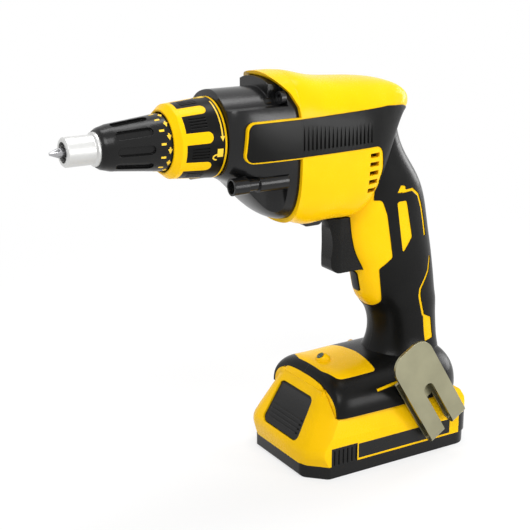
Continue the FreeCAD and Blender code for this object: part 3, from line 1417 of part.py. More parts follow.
def make_housings():
    """The two yellow halves and the two rubber grips, left ones first."""
    rubber = left_rubber()
    yellow = left_outer().cut(rubber).cut(left_hollow()).cut(panel_space())
    yellow = main_body(yellow.cut(left_openings()))
    halves = both_sides(yellow)
    grips = both_sides(rubber.cut(grip_grooves()))
    wells = insert_rods(INSERT_R, INSERT_LENGTH)
    left_holes = half_screw_holes(-1) + [wells[0]]
    right_holes = half_screw_holes(1) + [wells[1], spare_seat()]
    left_half = halves[0].cut(left_holes)
    right_half = halves[1].cut(right_holes)
    boss = hook_boss().cut(left_half)
    left_grip = grips[0].fuse(boss).cut(left_holes)
    right_grip = grips[1].cut(right_holes)
    return left_half, right_half, left_grip, right_grip


# Trigger and buttons

def make_trigger():
    """Trigger with a rounded, dished front and a hole for its spring behind."""
    body = side_plate(trigger_outline(0.0, 0.0), -TRIGGER_HALF_WIDTH, TRIGGER_HALF_WIDTH)
    half = TRIGGER_HALF_WIDTH
    plan = plan_plate([(TRIGGER_FRONT_X, -half, TRIGGER_NOSE_R), (TRIGGER_REAR_X, -half, 0),
                       (TRIGGER_REAR_X, half, 0), (TRIGGER_FRONT_X, half, TRIGGER_NOSE_R)], 0, BIG)
    middle = (TRIGGER_TOP_Z + TRIGGER_BOTTOM_Z) / 2
    dish = cross_rod(TRIGGER_FRONT_X + TRIGGER_LEAN / 2 + TRIGGER_DISH - TRIGGER_DISH_R, middle,
                     TRIGGER_DISH_R, -BIG, BIG)
    hole = rod(TRIGGER_REAR_X - TRIGGER_SPRING_SEAT, TRIGGER_REAR_X,
               TRIGGER_SPRING_R + TRIGGER_SPRING_WIRE, middle)
    return body.common(plan).cut(dish).cut(hole)


def make_trigger_spring():
    """Spring between the trigger and the switch."""
    start = TRIGGER_REAR_X - TRIGGER_SPRING_SEAT
    spring = coil(SWITCH_FRONT_X - start, TRIGGER_SPRING_R, TRIGGER_SPRING_WIRE, TRIGGER_SPRING_TURNS)
    spring.translate(V(start, 0, (TRIGGER_TOP_Z + TRIGGER_BOTTOM_Z) / 2))
    return spring


def make_trigger_switch():
    """Switch body in the handle, with two solder tabs behind."""
    half = SWITCH_WIDTH / 2
    rear = SWITCH_FRONT_X + SWITCH_LENGTH
    body = block(SWITCH_FRONT_X, rear, -half, half, SWITCH_BOTTOM_Z, SWITCH_TOP_Z)
    tabs = [block(rear, rear + SWITCH_TAB, y - SWITCH_TAB / 4, y + SWITCH_TAB / 4,
                  SWITCH_TOP_Z - 2 * SWITCH_TAB, SWITCH_TOP_Z - SWITCH_TAB) for y in (-half / 2, half / 2)]
    return join([body] + tabs)


def make_direction_button():
    """Knob under the barrel that slides from side to side to reverse the motor."""
    half = DIRECTION_WIDTH / 2
    reach = DIRECTION_LENGTH / 2 + DIRECTION_FLANGE
    top = direction_top_z()
    flange = block(DIRECTION_X - reach, DIRECTION_X + reach, -half, half, top - 2 * FREE, top)
    return direction_bar(0.0, half).fuse(flange).removeSplitter()


def make_lock_button():
    """Button under the trigger that locks it on; its face follows the handle."""
    return handle_skin(-LOCK_PROUD).common(lock_bar(0.0, LOCK_REAR_X))


def make_lock_spring():
    """Spring behind the lock button."""
    spring = coil(LOCK_SPRING_LENGTH, LOCK_SPRING_R, LOCK_SPRING_WIRE, LOCK_SPRING_TURNS)
    spring.translate(V(LOCK_REAR_X, 0, LOCK_Z))
    return spring


def make_light_board():
    """Small round board with the light behind the lens."""
    return light_cylinder(LIGHT_LENS_R, -LIGHT_BOARD, LIGHT_BOARD)


# Terminals

def blade_places():
    """Sideways places of the terminal blades."""
    return [BLADE_STEP * (i - (BLADES - 1) / 2) for i in range(BLADES)]


def make_terminal_blades():
    """Blades that reach into the battery's contacts."""
    half = BLADE_THICKNESS / 2
    return Part.makeCompound([
        block(BLADE_FRONT_X, BLADE_REAR_X, y - half, y + half, POCKET_TOP_Z - BLADE_DEPTH,
              POCKET_TOP_Z + BLOCK_HEIGHT / 2) for y in blade_places()])


def make_terminal_block():
    """Block in the foot that holds the blades."""
    half = BLOCK_WIDTH / 2
    body = block(BLADE_REAR_X - BLOCK_LENGTH, BLADE_REAR_X, -half, half,
                 POCKET_TOP_Z, POCKET_TOP_Z + BLOCK_HEIGHT)
    return body.cut(make_terminal_blades())


# Battery

def battery_plan(inset, z0, z1, hip=0.0):
    """Plan of the battery, drawn in by an inset and at its front corners by a hip, between two heights."""
    front = BATTERY_FRONT_X + inset
    rear = BATTERY_REAR_X - inset
    side = BATTERY_WIDTH / 2 - inset
    shift = inset / 2 + hip * math.sqrt(2)
    nose = BATTERY_FRONT_WIDTH / 2 - shift
    corner = BATTERY_FRONT_X + BATTERY_CORNER + shift
    rear_r = BATTERY_REAR_R - inset
    return plan_plate([(front, -nose, 4.0), (corner, -side, 4.0), (rear, -side, rear_r), (rear, side, rear_r),
                       (corner, side, 4.0), (front, nose, 4.0)], z0, z1)


def between(front, hip, turn):
    """Shift halfway round a front corner, from the shifts of the front and of the hip that meet there."""
    across = (hip - front * math.cos(turn)) / math.sin(turn)
    return front * math.cos(turn / 2) + across * math.sin(turn / 2)


def battery_form(inset):
    """Leaning front, hips and rear of the battery, drawn in by an inset."""
    front = BATTERY_FRONT_X + inset
    rear = BATTERY_REAR_X - inset
    top = lean_point(V(SNOUT_LEAN, 0, SNOUT_LEAN_RISE).Length, 0.0)
    side = [(front + FRONT_UNDERCUT, 0, 0), (front + FRONT_UNDERCUT, TRAY_TOP_Z, 0),
            (front, SNOUT_SHELF_Z, SHELF_R), (top.x + inset, top.z, 0),
            (SNOUT_REAR_X + inset, SNOUT_TOP_Z, 0), (rear - REAR_LEAN, SNOUT_TOP_Z, 0),
            (rear - REAR_LEAN, BATTERY_TOP_Z, 0), (rear, REAR_RIDGE_Z, 0), (rear, 0, 0)]
    form = side_plate(side, -BIG, BIG)
    turn = math.atan2(BATTERY_CORNER, BATTERY_WIDTH / 2 - BATTERY_FRONT_WIDTH / 2)
    slope = SNOUT_LEAN / SNOUT_LEAN_RISE
    facets = [(turn, inset, HIP_LEAN, HIP_UNDERCUT)]
    facets.append((turn / 2, inset + HIP_FACET, between(slope, HIP_LEAN, turn),
                   between(FRONT_UNDERCUT, HIP_UNDERCUT, turn)))
    for angle, depth, lean, undercut in facets:
        reach = depth + lean * (SNOUT_TOP_Z - SNOUT_SHELF_Z)
        hip = [(depth + undercut, 0, 0), (depth + undercut, TRAY_TOP_Z, 0), (depth, SNOUT_SHELF_Z, SHELF_R),
               (reach, SNOUT_TOP_Z, 0), (BIG, SNOUT_TOP_Z, 0), (BIG, 0, 0)]
        for sign in (-1, 1):
            wedge = side_plate(hip, -BIG, BIG)
            wedge.rotate(V(0, 0, 0), V(0, 0, 1), -sign * math.degrees(angle))
            wedge.translate(V(BATTERY_FRONT_X, sign * BATTERY_FRONT_WIDTH / 2, 0))
            form = form.common(wedge)
    return form.removeSplitter()


def battery_outer(z0, z1):
    """Outer form of the battery under the foot: upright sides, then a shoulder drawn in to the top."""
    side = BATTERY_WIDTH / 2
    top = side - BATTERY_SHOULDER
    section = [(-side, 0, 0), (-side, BATTERY_RIDGE_Z, 3.0), (-top, BATTERY_TOP_Z, 1.5),
               (top, BATTERY_TOP_Z, 1.5), (side, BATTERY_RIDGE_Z, 3.0), (side, 0, 0)]
    return battery_plan(0.0, z0, z1).common(front_plate(section, -BIG, BIG)).common(battery_form(0.0))


def lean_up():
    """Direction up the battery's leaning front face."""
    return V(SNOUT_LEAN, 0, SNOUT_LEAN_RISE).normalize()


def lean_in():
    """Direction into the battery's leaning front face."""
    up = lean_up()
    return V(up.z, 0, -up.x)


def lean_point(along, depth, y=0.0):
    """A point in the frame of the leaning front face."""
    return V(BATTERY_FRONT_X, y, SNOUT_SHELF_Z) + lean_up() * along + lean_in() * depth


def snout_tunnel(inset):
    """Arch of the battery's raised front, carried forward and moved inwards by an inset."""
    width = FOOT[0][2] - inset
    arch = oval(width, SNOUT_TOP_Z - FOOT_BASE_Z - inset, FOOT_SQUARENESS, 32)
    upper = [V(0, a, FOOT_BASE_Z + b) for a, b in arch if b > 0]
    curve = Part.BSplineCurve()
    curve.interpolate([V(0, width, FOOT_BASE_Z)] + upper + [V(0, -width, FOOT_BASE_Z)])
    base = Part.makePolygon([V(0, -width, FOOT_BASE_Z), V(0, -width, 0), V(0, width, 0),
                             V(0, width, FOOT_BASE_Z)])
    return Part.Face(Part.Wire([curve.toShape()] + base.Edges)).extrude(V(-BIG, 0, 0))


def snout():
    """Raised front of the battery, which carries on the foot's arch."""
    room = block(-BIG, SNOUT_REAR_X, -BIG, BIG, TRAY_TOP_Z, BIG)
    form = battery_form(0.0).common(battery_plan(0.0, TRAY_TOP_Z, BIG))
    return form.common(snout_tunnel(0.0)).common(room)


def rim_grooves():
    """Fine groove over the battery's snout."""
    x = SNOUT_REAR_X - RIM_BAND
    return [block(x - RIM_GROOVE, x, -BIG, BIG, RIM_GROOVE_Z, BIG).cut(snout_tunnel(RIM_GROOVE))]


def tower():
    """Block on top of the battery with the grooves that hang on the foot's rails."""
    body = block(SNOUT_REAR_X - BATTERY_WALL, TOWER_REAR_X, -TOWER_HALF_WIDTH, TOWER_HALF_WIDTH,
                 BATTERY_TOP_Z - BATTERY_CEILING, TOWER_TOP_Z)
    low = RAIL_BOTTOM_Z - POCKET_CLEAR
    high = RAIL_TOP_Z + POCKET_CLEAR
    groove = block(SNOUT_REAR_X, TOWER_REAR_X, -TOWER_HALF_WIDTH, -TOWER_NECK_HALF_WIDTH, low, high)
    return body.cut(both_sides(groove))


def battery_cavity():
    """Space for the cells inside the battery."""
    room = battery_plan(BATTERY_WALL, TRAY_FLOOR, BATTERY_TOP_Z - BATTERY_CEILING)
    return room.common(block(BATTERY_CAVITY_X, BIG, -BIG, BIG, -BIG, BIG)).common(battery_form(BATTERY_WALL))


def blade_slots():
    """Slots in the tower for the blades, open at the top and rear."""
    front = BLADE_FRONT_X - CONTACT_GAP - CONTACT_LENGTH
    half = BLADE_SLOT / 2
    floor = POCKET_TOP_Z - BLADE_DEPTH - POCKET_CLEAR
    return [block(front, TOWER_REAR_X, y - half, y + half, floor, TOWER_TOP_Z)
            for y in blade_places()]


def release_outline(inset):
    """Outline of the release button in its leaning face, as (y, along) corners."""
    low = RELEASE_BOTTOM + inset
    high = RELEASE_TOP - inset
    bottom = RELEASE_BOTTOM_HALF - inset
    top = RELEASE_TOP_HALF - inset
    return [(-bottom, low, RELEASE_R), (bottom, low, RELEASE_R),
            (top, high, RELEASE_R), (-top, high, RELEASE_R)]


def release_plate(inset, depth0, depth1):
    """The release button's outline between two depths under the leaning face."""
    face = rounded_face(release_outline(inset), lambda p: lean_point(p.y, depth0, p.x))
    return face.extrude(lean_in() * (depth1 - depth0))


def release_hinge():
    """Middle of the release button's hinge."""
    return lean_point(RELEASE_TOP - RELEASE_PIN_R - FREE, RELEASE_SINK + RELEASE_THICKNESS / 2)


def release_pins(extra):
    """Hinge pins on both sides of the release button, grown by an extra."""
    place = release_hinge()
    reach = RELEASE_TOP_HALF + RELEASE_PIN_REACH + extra
    return cross_rod(place.x, place.z, RELEASE_PIN_R + extra, -reach, reach)


def release_room():
    """Recess for the release button: deep at the bottom, shallow at its hinge."""
    shaft = release_plate(0.0, -RELEASE_POCKET_BOTTOM, 2 * RELEASE_POCKET_BOTTOM)
    run = RELEASE_TOP + RELEASE_R
    wedge = [lean_point(0, -RELEASE_POCKET_BOTTOM), lean_point(run, -RELEASE_POCKET_BOTTOM),
             lean_point(run, RELEASE_POCKET_TOP), lean_point(0, RELEASE_POCKET_BOTTOM)]
    recess = shaft.common(side_plate([(p.x, p.z, 0) for p in wedge], -BIG, BIG))
    return [recess, release_pins(RUN), release_spring_space(RELEASE_SPRING_R + 2 * RELEASE_SPRING_WIRE)]


def release_spring_start():
    """Back of the release button over its spring."""
    return lean_point(RELEASE_BOTTOM + 2 * RELEASE_R, RELEASE_SINK + RELEASE_THICKNESS)


def release_spring_space(radius):
    """Round hole behind the release button for its spring."""
    return Part.makeCylinder(radius, RELEASE_SPRING_LENGTH, release_spring_start(), lean_in())


def make_release_spring():
    """Spring behind the release button."""
    spring = coil(RELEASE_SPRING_LENGTH, RELEASE_SPRING_R, RELEASE_SPRING_WIRE, RELEASE_SPRING_TURNS)
    return placed(spring, release_spring_start(), lean_in())


def make_release_button():
    """Hinged release button with finger ribs on its lower half."""
    plate = release_plate(FREE, RELEASE_SINK, RELEASE_SINK + RELEASE_THICKNESS)
    ribs = []
    for i in range(RELEASE_RIBS):
        along = RELEASE_BOTTOM + RELEASE_R + RELEASE_RIB_STEP * i
        half = RELEASE_TOP_HALF - RELEASE_R / 2
        bar = Part.makeBox(RELEASE_RIB, 2 * half, RELEASE_RIB)
        bar.Placement = FreeCAD.Placement(lean_point(along, RELEASE_SINK - RELEASE_RIB, -half),
                                          FreeCAD.Rotation(lean_up(), V(0, 1, 0), lean_in() * -1, "XYZ"))
        bar.translate(lean_in() * RELEASE_RIB)
        ribs.append(bar)
    return join([plate, release_pins(0.0)] + ribs)


def side_patch(x0, x1, z0, z1, depth):
    """A shallow layer of both battery sides."""
    side = BATTERY_WIDTH / 2
    space = block(x0, x1, side - depth, BIG, z0, z1)
    return battery_outer(0.0, WRAP_TOP_Z + TRAY_TOP_Z).common(Part.makeCompound(both_sides(space)))


def tray_raised():
    """Black tray pieces that rise over the yellow shell: ribbed patches and the rear wrap."""
    patches = side_patch(PATCH_FRONT_X, PATCH_REAR_X, TRAY_TOP_Z, PATCH_TOP_Z, PATCH_DEPTH)
    rear = battery_outer(TRAY_TOP_Z, WRAP_TOP_Z).common(block(WRAP_X, BIG, -BIG, BIG, -BIG, BIG))
    return patches.fuse(rear.cut(battery_plan(WRAP_DEPTH, 0, BIG)))


def make_battery_shell():
    """Yellow upper shell with the snout and the tower."""
    body = battery_outer(TRAY_TOP_Z, BATTERY_TOP_Z).multiFuse([snout(), tower()])
    screws = [battery_screw_hole(side) for side in (-1, 1)]
    labels = side_patch(PATCH_REAR_X + RIM, LABEL_REAR_X, LABEL_BOTTOM_Z, LABEL_TOP_Z, LABEL_DEPTH)
    cuts = [battery_cavity(), tray_raised(), labels] + rim_grooves() + blade_slots() + release_room() + screws
    return main_body(body.cut(cuts).removeSplitter())


def battery_screw_hole(side):
    """Threaded hole for a battery screw."""
    return Part.makeCylinder(BATTERY_SCREW_R, BATTERY_SCREW_HEAD + BATTERY_SCREW_LENGTH,
                             V(BATTERY_SCREW_X, side * BATTERY_SCREW_Y, 0))


def battery_screw_head(side, radius):
    """Space of a battery screw's head in the tray."""
    return Part.makeCylinder(radius, BATTERY_SCREW_HEAD, V(BATTERY_SCREW_X, side * BATTERY_SCREW_Y, RIM / 2))


def make_battery_tray():
    """Black tray under the battery, with its raised patches."""
    side = [(BATTERY_FRONT_X, 0, TRAY_ROLL / 2), (BATTERY_REAR_X, 0, TRAY_ROLL), (BATTERY_REAR_X, BIG, 0),
            (BATTERY_FRONT_X, BIG, 0)]
    base = battery_plan(TRAY_INSET, 0, TRAY_TOP_Z, HIP_UNDERCUT).common(side_plate(side, -BIG, BIG))
    cuts = [battery_cavity()]
    for sign in (-1, 1):
        cuts.append(battery_screw_hole(sign))
        cuts.append(battery_screw_head(sign, BATTERY_SCREW_HEAD_R + FREE))
        seat = V(BATTERY_SCREW_X, sign * BATTERY_SCREW_Y, 0)
        cuts.append(Part.makeCylinder(BATTERY_SCREW_HEAD_R + FREE, RIM, seat))
    step = (PATCH_REAR_X - PATCH_FRONT_X) / PATCH_RIBS
    for i in range(PATCH_RIBS):
        x = PATCH_FRONT_X + step * (i + 0.5)
        groove = block(x, x + step / 3, BATTERY_WIDTH / 2 - PATCH_DEPTH / 2, BIG,
                       TRAY_TOP_Z, PATCH_TOP_Z - step / 2)
        cuts += both_sides(groove)
    return base.fuse(tray_raised()).cut(cuts).removeSplitter()


def make_battery_labels():
    """Plain label fields on both sides."""
    return side_patch(PATCH_REAR_X + RIM, LABEL_REAR_X, LABEL_BOTTOM_Z, LABEL_TOP_Z, LABEL_DEPTH)


def make_battery_screws():
    """Screws from the tray into the shell."""
    screws = []
    for side in (-1, 1):
        head = battery_screw_head(side, BATTERY_SCREW_HEAD_R)
        shank = battery_screw_hole(side).cut(block(-BIG, BIG, -BIG, BIG, -BIG, RIM / 2))
        drive = Part.makeCylinder(BATTERY_SCREW_R, BATTERY_SCREW_HEAD / 2,
                                  V(BATTERY_SCREW_X, side * BATTERY_SCREW_Y, RIM / 2))
        screws.append(head.fuse(shank).cut(drive))
    return Part.makeCompound(screws)


def cell_places():
    """Places of the cells along the battery."""
    return [CELL_SHIFT + CELL_STEP * (i - (CELLS - 1) / 2) for i in range(CELLS)]


def make_battery_cells():
    """Five cells across the battery."""
    return Part.makeCompound([cross_rod(x, CELL_Z, CELL_R, -CELL_LENGTH / 2, CELL_LENGTH / 2)
                              for x in cell_places()])


def make_cell_holders():
    """Plates that carry the cells near their ends."""
    half = CELLS * CELL_STEP / 2
    end = CELL_LENGTH / 2
    plate = block(CELL_SHIFT - half, CELL_SHIFT + half, end - HOLDER_PLATE, end, TRAY_FLOOR, HOLDER_TOP_Z)
    holes = [cross_rod(x, CELL_Z, CELL_R + RUN, 0, end + FREE) for x in cell_places()]
    return Part.makeCompound(both_sides(plate.common(battery_cavity()).cut(holes)))


def make_battery_board():
    """Circuit board on the cell holders."""
    half = CELL_LENGTH / 2 - FREE
    reach = BOARD_LENGTH / 2
    return block(CELL_SHIFT - reach, CELL_SHIFT + reach, -half, half, HOLDER_TOP_Z, HOLDER_TOP_Z + BOARD)


def make_battery_contacts():
    """Spring contacts in the tower, each a fork with a mouth towards its blade."""
    rear = BLADE_FRONT_X - CONTACT_GAP
    half = BLADE_SLOT / 2
    contacts = []
    for y in blade_places():
        low = POCKET_TOP_Z - BLADE_DEPTH - POCKET_CLEAR
        fork = block(rear - CONTACT_LENGTH, rear, y - half, y + half, low, TOWER_TOP_Z - POCKET_CLEAR)
        mouth = block(rear - CONTACT_LENGTH / 2, rear, y - half / 2, y + half / 2, low, TOWER_TOP_Z)
        contacts.append(fork.cut(mouth))
    return Part.makeCompound(contacts)


# Belt hook

def make_belt_hook():
    """Sheet steel clip folded under itself, with a slot up from the fold."""
    face = HOOK_FACE_Y
    back = hook_back_y()
    middle = (face + back) / 2
    bend = (back - face) / 2
    turn = HOOK_LENGTH - bend
    points = [V(0, face, 0), V(turn, face, 0), V(turn, back, 0), V(HOOK_BACK_TOP, back, 0),
              V(HOOK_BACK_TOP, back - HOOK_SHEET, 0), V(turn, back - HOOK_SHEET, 0),
              V(turn, face + HOOK_SHEET, 0), V(0, face + HOOK_SHEET, 0)]
    outer = Part.Arc(points[1], V(HOOK_LENGTH, middle, 0), points[2]).toShape()
    inner = Part.Arc(points[5], V(HOOK_LENGTH - HOOK_SHEET, middle, 0), points[6]).toShape()
    edges = [Part.makeLine(points[0], points[1]), outer, Part.makeLine(points[2], points[3]),
             Part.makeLine(points[3], points[4]), Part.makeLine(points[4], points[5]), inner,
             Part.makeLine(points[6], points[7]), Part.makeLine(points[7], points[0])]
    half = HOOK_WIDTH / 2
    strip = Part.Face(Part.Wire(edges)).extrude(V(0, 0, HOOK_WIDTH))
    strip.translate(V(0, 0, -half))
    outline = side_plate([(0, -half, HOOK_TOP_R), (2 * HOOK_LENGTH, -half, 0), (2 * HOOK_LENGTH, half, 0),
                          (0, half, HOOK_TOP_R)], -BIG, BIG)
    slot_r = HOOK_SLOT / 2
    slot = side_plate([(HOOK_SLOT_START, -slot_r, slot_r * 0.98), (2 * HOOK_LENGTH, -slot_r, 0),
                       (2 * HOOK_LENGTH, slot_r, 0), (HOOK_SLOT_START, slot_r, slot_r * 0.98)],
                      face - bend, middle)
    start = HOOK_SCREW_AT + HOOK_BOSS_R + HOOK_SLOT
    back_slot = side_plate([(start, -slot_r, 0), (2 * HOOK_LENGTH, -slot_r, 0),
                            (2 * HOOK_LENGTH, slot_r, 0), (start, slot_r, 0)],
                           middle, back + bend)
    hole = Part.makeCylinder(HOOK_SCREW_R + TOUCH, 2 * HOOK_SHEET, V(HOOK_SCREW_AT, back - 2 * HOOK_SHEET, 0),
                             V(0, 1, 0))
    hook = strip.common(outline).cut([slot, back_slot, hole])
    hook.Placement = FreeCAD.Placement(V(HOOK_TOP_X, 0, HOOK_TOP_Z), FreeCAD.Rotation(V(0, 1, 0), HOOK_TILT))
    return hook


def make_hook_screw():
    """Screw that holds the belt hook to the insert."""
    seat = hook_place(HOOK_SCREW_AT, hook_back_y() - HOOK_SHEET)
    shank = cross_rod(seat.x, seat.z, HOOK_SCREW_R, seat.y, seat.y + HOOK_SHEET + INSERT_LENGTH - TOUCH)
    head = cross_rod(seat.x, seat.z, HOOK_SCREW_HEAD_R, seat.y - HOOK_SCREW_HEAD, seat.y)
    drive = cross_rod(seat.x, seat.z, HOOK_SCREW_R, seat.y - HOOK_SCREW_HEAD, seat.y - HOOK_SCREW_HEAD / 2)
    return shank.fuse(head).cut(drive)


def export(name, shape):
    """Writes one piece."""
    shape.exportStep(os.path.join("parts", name + ".step"))
    print(name, len(shape.Solids), round(shape.Volume, 1), shape.isValid())


def main():
    """Builds every piece and writes it."""
    os.makedirs("parts", exist_ok=True)
    pieces = {
        "screwdriver_bit": make_bit(),
        "bit_holder": make_bit_holder(),
        "bit_magnet": make_bit_magnet(),
        "bit_retaining_ring": make_retaining_ring(),
        "output_spindle": make_output_spindle(),
        "clutch_gear": make_clutch_gear(),
        "clutch_spring": make_clutch_spring(),
        "spindle_front_bearing": bearing(FRONT_BEARING_X, FRONT_BEARING_WIDTH, JOURNAL_R + RUN,
                                         FRONT_BEARING_R, SPINDLE_Z),
        "spindle_rear_bush": ring(PLATE_FRONT_X, PLATE_REAR_X, JOURNAL_R + RUN,
                                  JOURNAL_R + RUN + BUSH_WALL, SPINDLE_Z),
        "thrust_washer": ring(PLATE_FRONT_X - WASHER, PLATE_FRONT_X, JOURNAL_R + RUN, GEAR_HUB_R, SPINDLE_Z),
        "depth_locator": make_depth_locator(),
        "depth_cone": make_depth_cone(),
        "nose_carrier": make_nose_carrier(),
        "nose_seal": make_nose_seal(),
        "lock_collar": make_lock_collar(),
        "collar_grip": make_collar_grip(),
        "gear_case": make_gear_case(),
        "gear_case_screws": make_gear_case_screws(),
        "bearing_plate": make_bearing_plate(),
        "rotor_shaft": make_rotor_shaft(),
        "motor_pinion": make_motor_pinion(),
        "rotor_core": make_rotor_core(),
        "rotor_magnets": magnet_slots(),
        "stator": make_stator(),
        "stator_coils": make_stator_coils(),
        "motor_fan": make_motor_fan(),
        "motor_front_bearing": bearing(PLATE_FRONT_X, MOTOR_BEARING_WIDTH, SHAFT_R + RUN,
                                       MOTOR_BEARING_R, MOTOR_Z),
        "motor_rear_bearing": bearing(TAIL_BEARING_X, TAIL_BEARING_WIDTH, SHAFT_TAIL_R + RUN,
                                      TAIL_BEARING_R, MOTOR_Z),
        "control_module": make_control_module(),
        "housing_screws": make_housing_screws(),
        "trigger": make_trigger(),
        "trigger_spring": make_trigger_spring(),
        "trigger_switch": make_trigger_switch(),
        "direction_button": make_direction_button(),
        "lock_on_button": make_lock_button(),
        "lock_button_spring": make_lock_spring(),
        "foot_panel": make_foot_panel(),
        "work_light_lens": make_work_light_lens(),
        "work_light_board": make_light_board(),
        "terminal_block": make_terminal_block(),
        "terminal_blades": make_terminal_blades(),
        "belt_hook": make_belt_hook(),
        "belt_hook_screw": make_hook_screw(),
        "hook_inserts": make_hook_inserts(),
        "battery_shell": make_battery_shell(),
        "battery_tray": make_battery_tray(),
        "battery_labels": make_battery_labels(),
        "battery_screws": make_battery_screws(),
        "battery_cells": make_battery_cells(),
        "cell_holders": make_cell_holders(),
        "battery_board": make_battery_board(),
        "battery_contacts": make_battery_contacts(),
        "release_button": make_release_button(),
        "release_spring": make_release_spring(),
    }
    names = ("left_housing", "right_housing", "left_grip", "right_grip")
    pieces.update(zip(names, make_housings()))
    for name, shape in pieces.items():
        export(name, shape)


main()
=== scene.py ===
import json
import logging
import math
from dataclasses import dataclass
from enum import Enum
from typing import Any, Dict, List, Optional, Sequence, Tuple, Union

import bpy
import numpy as np
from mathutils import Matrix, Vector


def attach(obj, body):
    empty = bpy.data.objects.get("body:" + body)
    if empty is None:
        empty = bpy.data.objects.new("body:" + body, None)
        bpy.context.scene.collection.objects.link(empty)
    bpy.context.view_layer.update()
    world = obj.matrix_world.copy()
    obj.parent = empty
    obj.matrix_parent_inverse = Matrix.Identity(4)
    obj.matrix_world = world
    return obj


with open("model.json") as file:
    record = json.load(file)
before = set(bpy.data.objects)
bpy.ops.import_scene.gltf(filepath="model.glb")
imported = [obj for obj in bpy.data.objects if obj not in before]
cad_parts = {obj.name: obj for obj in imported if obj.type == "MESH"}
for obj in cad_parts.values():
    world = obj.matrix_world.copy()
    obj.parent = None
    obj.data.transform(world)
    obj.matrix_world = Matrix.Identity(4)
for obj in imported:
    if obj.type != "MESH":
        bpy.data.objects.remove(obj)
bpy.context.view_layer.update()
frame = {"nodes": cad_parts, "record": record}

LOG = logging.getLogger("drywall_screwdriver")
MM = 0.001
SPINDLE_Z = 198.4 * MM
MEAN_NOISE = 0.5
CLOUD_DETAIL = 3.0
BEVEL_SAMPLES = 6
WHITE = (1.0, 1.0, 1.0)

Colour = Tuple[float, float, float]
Place = Tuple[float, float, float]
Span = Tuple[float, float]
Term = Union["Field", float]


def shaded(colour: Colour, factor: float) -> Colour:
    """Give a colour made lighter or darker by a factor, kept below white."""
    return tuple(min(1.0, part * factor) for part in colour)


class Field:
    """A value in a shader tree that takes part in Python sums, each of which adds one Math node."""

    def __init__(self, tree: "NodeTree", socket: bpy.types.NodeSocket) -> None:
        """Hold a tree and one of its output sockets."""
        self.tree = tree
        self.socket = socket

    def _math(self, operation: str, *terms: Term) -> "Field":
        """Add a Math node.

        Args:
            operation: The node's operation.
            terms: Its inputs, fields or plain numbers.

        Returns:
            The node's result.
        """
        return self.tree.node("ShaderNodeMath", {"operation": operation}, dict(enumerate(terms)))

    def __add__(self, other: Term) -> "Field":
        """Sum."""
        return self._math("ADD", self, other)

    __radd__ = __add__

    def __sub__(self, other: Term) -> "Field":
        """Difference."""
        return self._math("SUBTRACT", self, other)

    def __rsub__(self, other: Term) -> "Field":
        """Difference with the field taken away."""
        return self._math("SUBTRACT", other, self)

    def __mul__(self, other: Term) -> "Field":
        """Product."""
        return self._math("MULTIPLY", self, other)

    __rmul__ = __mul__

    def sine(self) -> "Field":
        """Sine of the field in radians."""
        return self._math("SINE", self)

    def larger(self, other: Term) -> "Field":
        """The larger of two values."""
        return self._math("MAXIMUM", self, other)

    def ease(self, low: float, high: float) -> "Field":
        """Rise smoothly from 0 to 1 between two values.

        Args:
            low: Where the rise starts.
            high: Where it ends.

        Returns:
            The eased field.
        """
        return self.tree.node("ShaderNodeMapRange", {"interpolation_type": "SMOOTHSTEP"},
                              {"Value": self, "From Min": low, "From Max": high}, "Result")


class NodeTree:
    """A shader tree, to which every node is added by one method."""

    def __init__(self, tree: bpy.types.NodeTree) -> None:
        """Take a tree and empty it."""
        self.tree = tree
        self.tree.nodes.clear()

    def feed(self, place: bpy.types.NodeSocket, value: Any) -> None:
        """Put a value on an input socket, as a link or as its own constant.

        Args:
            place: The input socket.
            value: A field, a number, a vector or a colour.
        """
        if isinstance(value, Field):
            self.tree.links.new(value.socket, place)
            return
        if place.type == "RGBA" and len(value) == 3:
            value = (*value, 1.0)
        place.default_value = value

    def node(self, kind: str, settings: Optional[Dict[str, Any]] = None,
             values: Optional[Dict[Any, Any]] = None, output: Any = 0) -> Optional[Field]:
        """Add any node.

        Args:
            kind: The node's type.
            settings: Properties of the node, set first.
            values: Values or links by socket name or number.
            output: Name or number of the output that is wanted.

        Returns:
            That output as a field, or None for a node with no outputs.
        """
        made = self.tree.nodes.new(kind)
        for key, item in (settings or {}).items():
            setattr(made, key, item)
        for key, item in (values or {}).items():
            self.feed(made.inputs[key], item)
        return Field(self, made.outputs[output]) if made.outputs else None

    def seen(self) -> Field:
        """Tell which rays look at a surface: 1 for the camera's, gloss and glass, 0 for the rest.

        Returns:
            The field.
        """
        camera, gloss, glass = (self.node("ShaderNodeLightPath", output=ray) for ray in
                                ("Is Camera Ray", "Is Glossy Ray", "Is Transmission Ray"))
        return camera.larger(gloss).larger(glass)

    def backdrop(self, lit: Field, plain: Field, share: Term) -> Field:
        """Mix a lit shader with a plain white one, of which looking rays see a share."""
        return self.node("ShaderNodeMixShader", {}, {0: self.seen() * share, 1: lit, 2: plain})


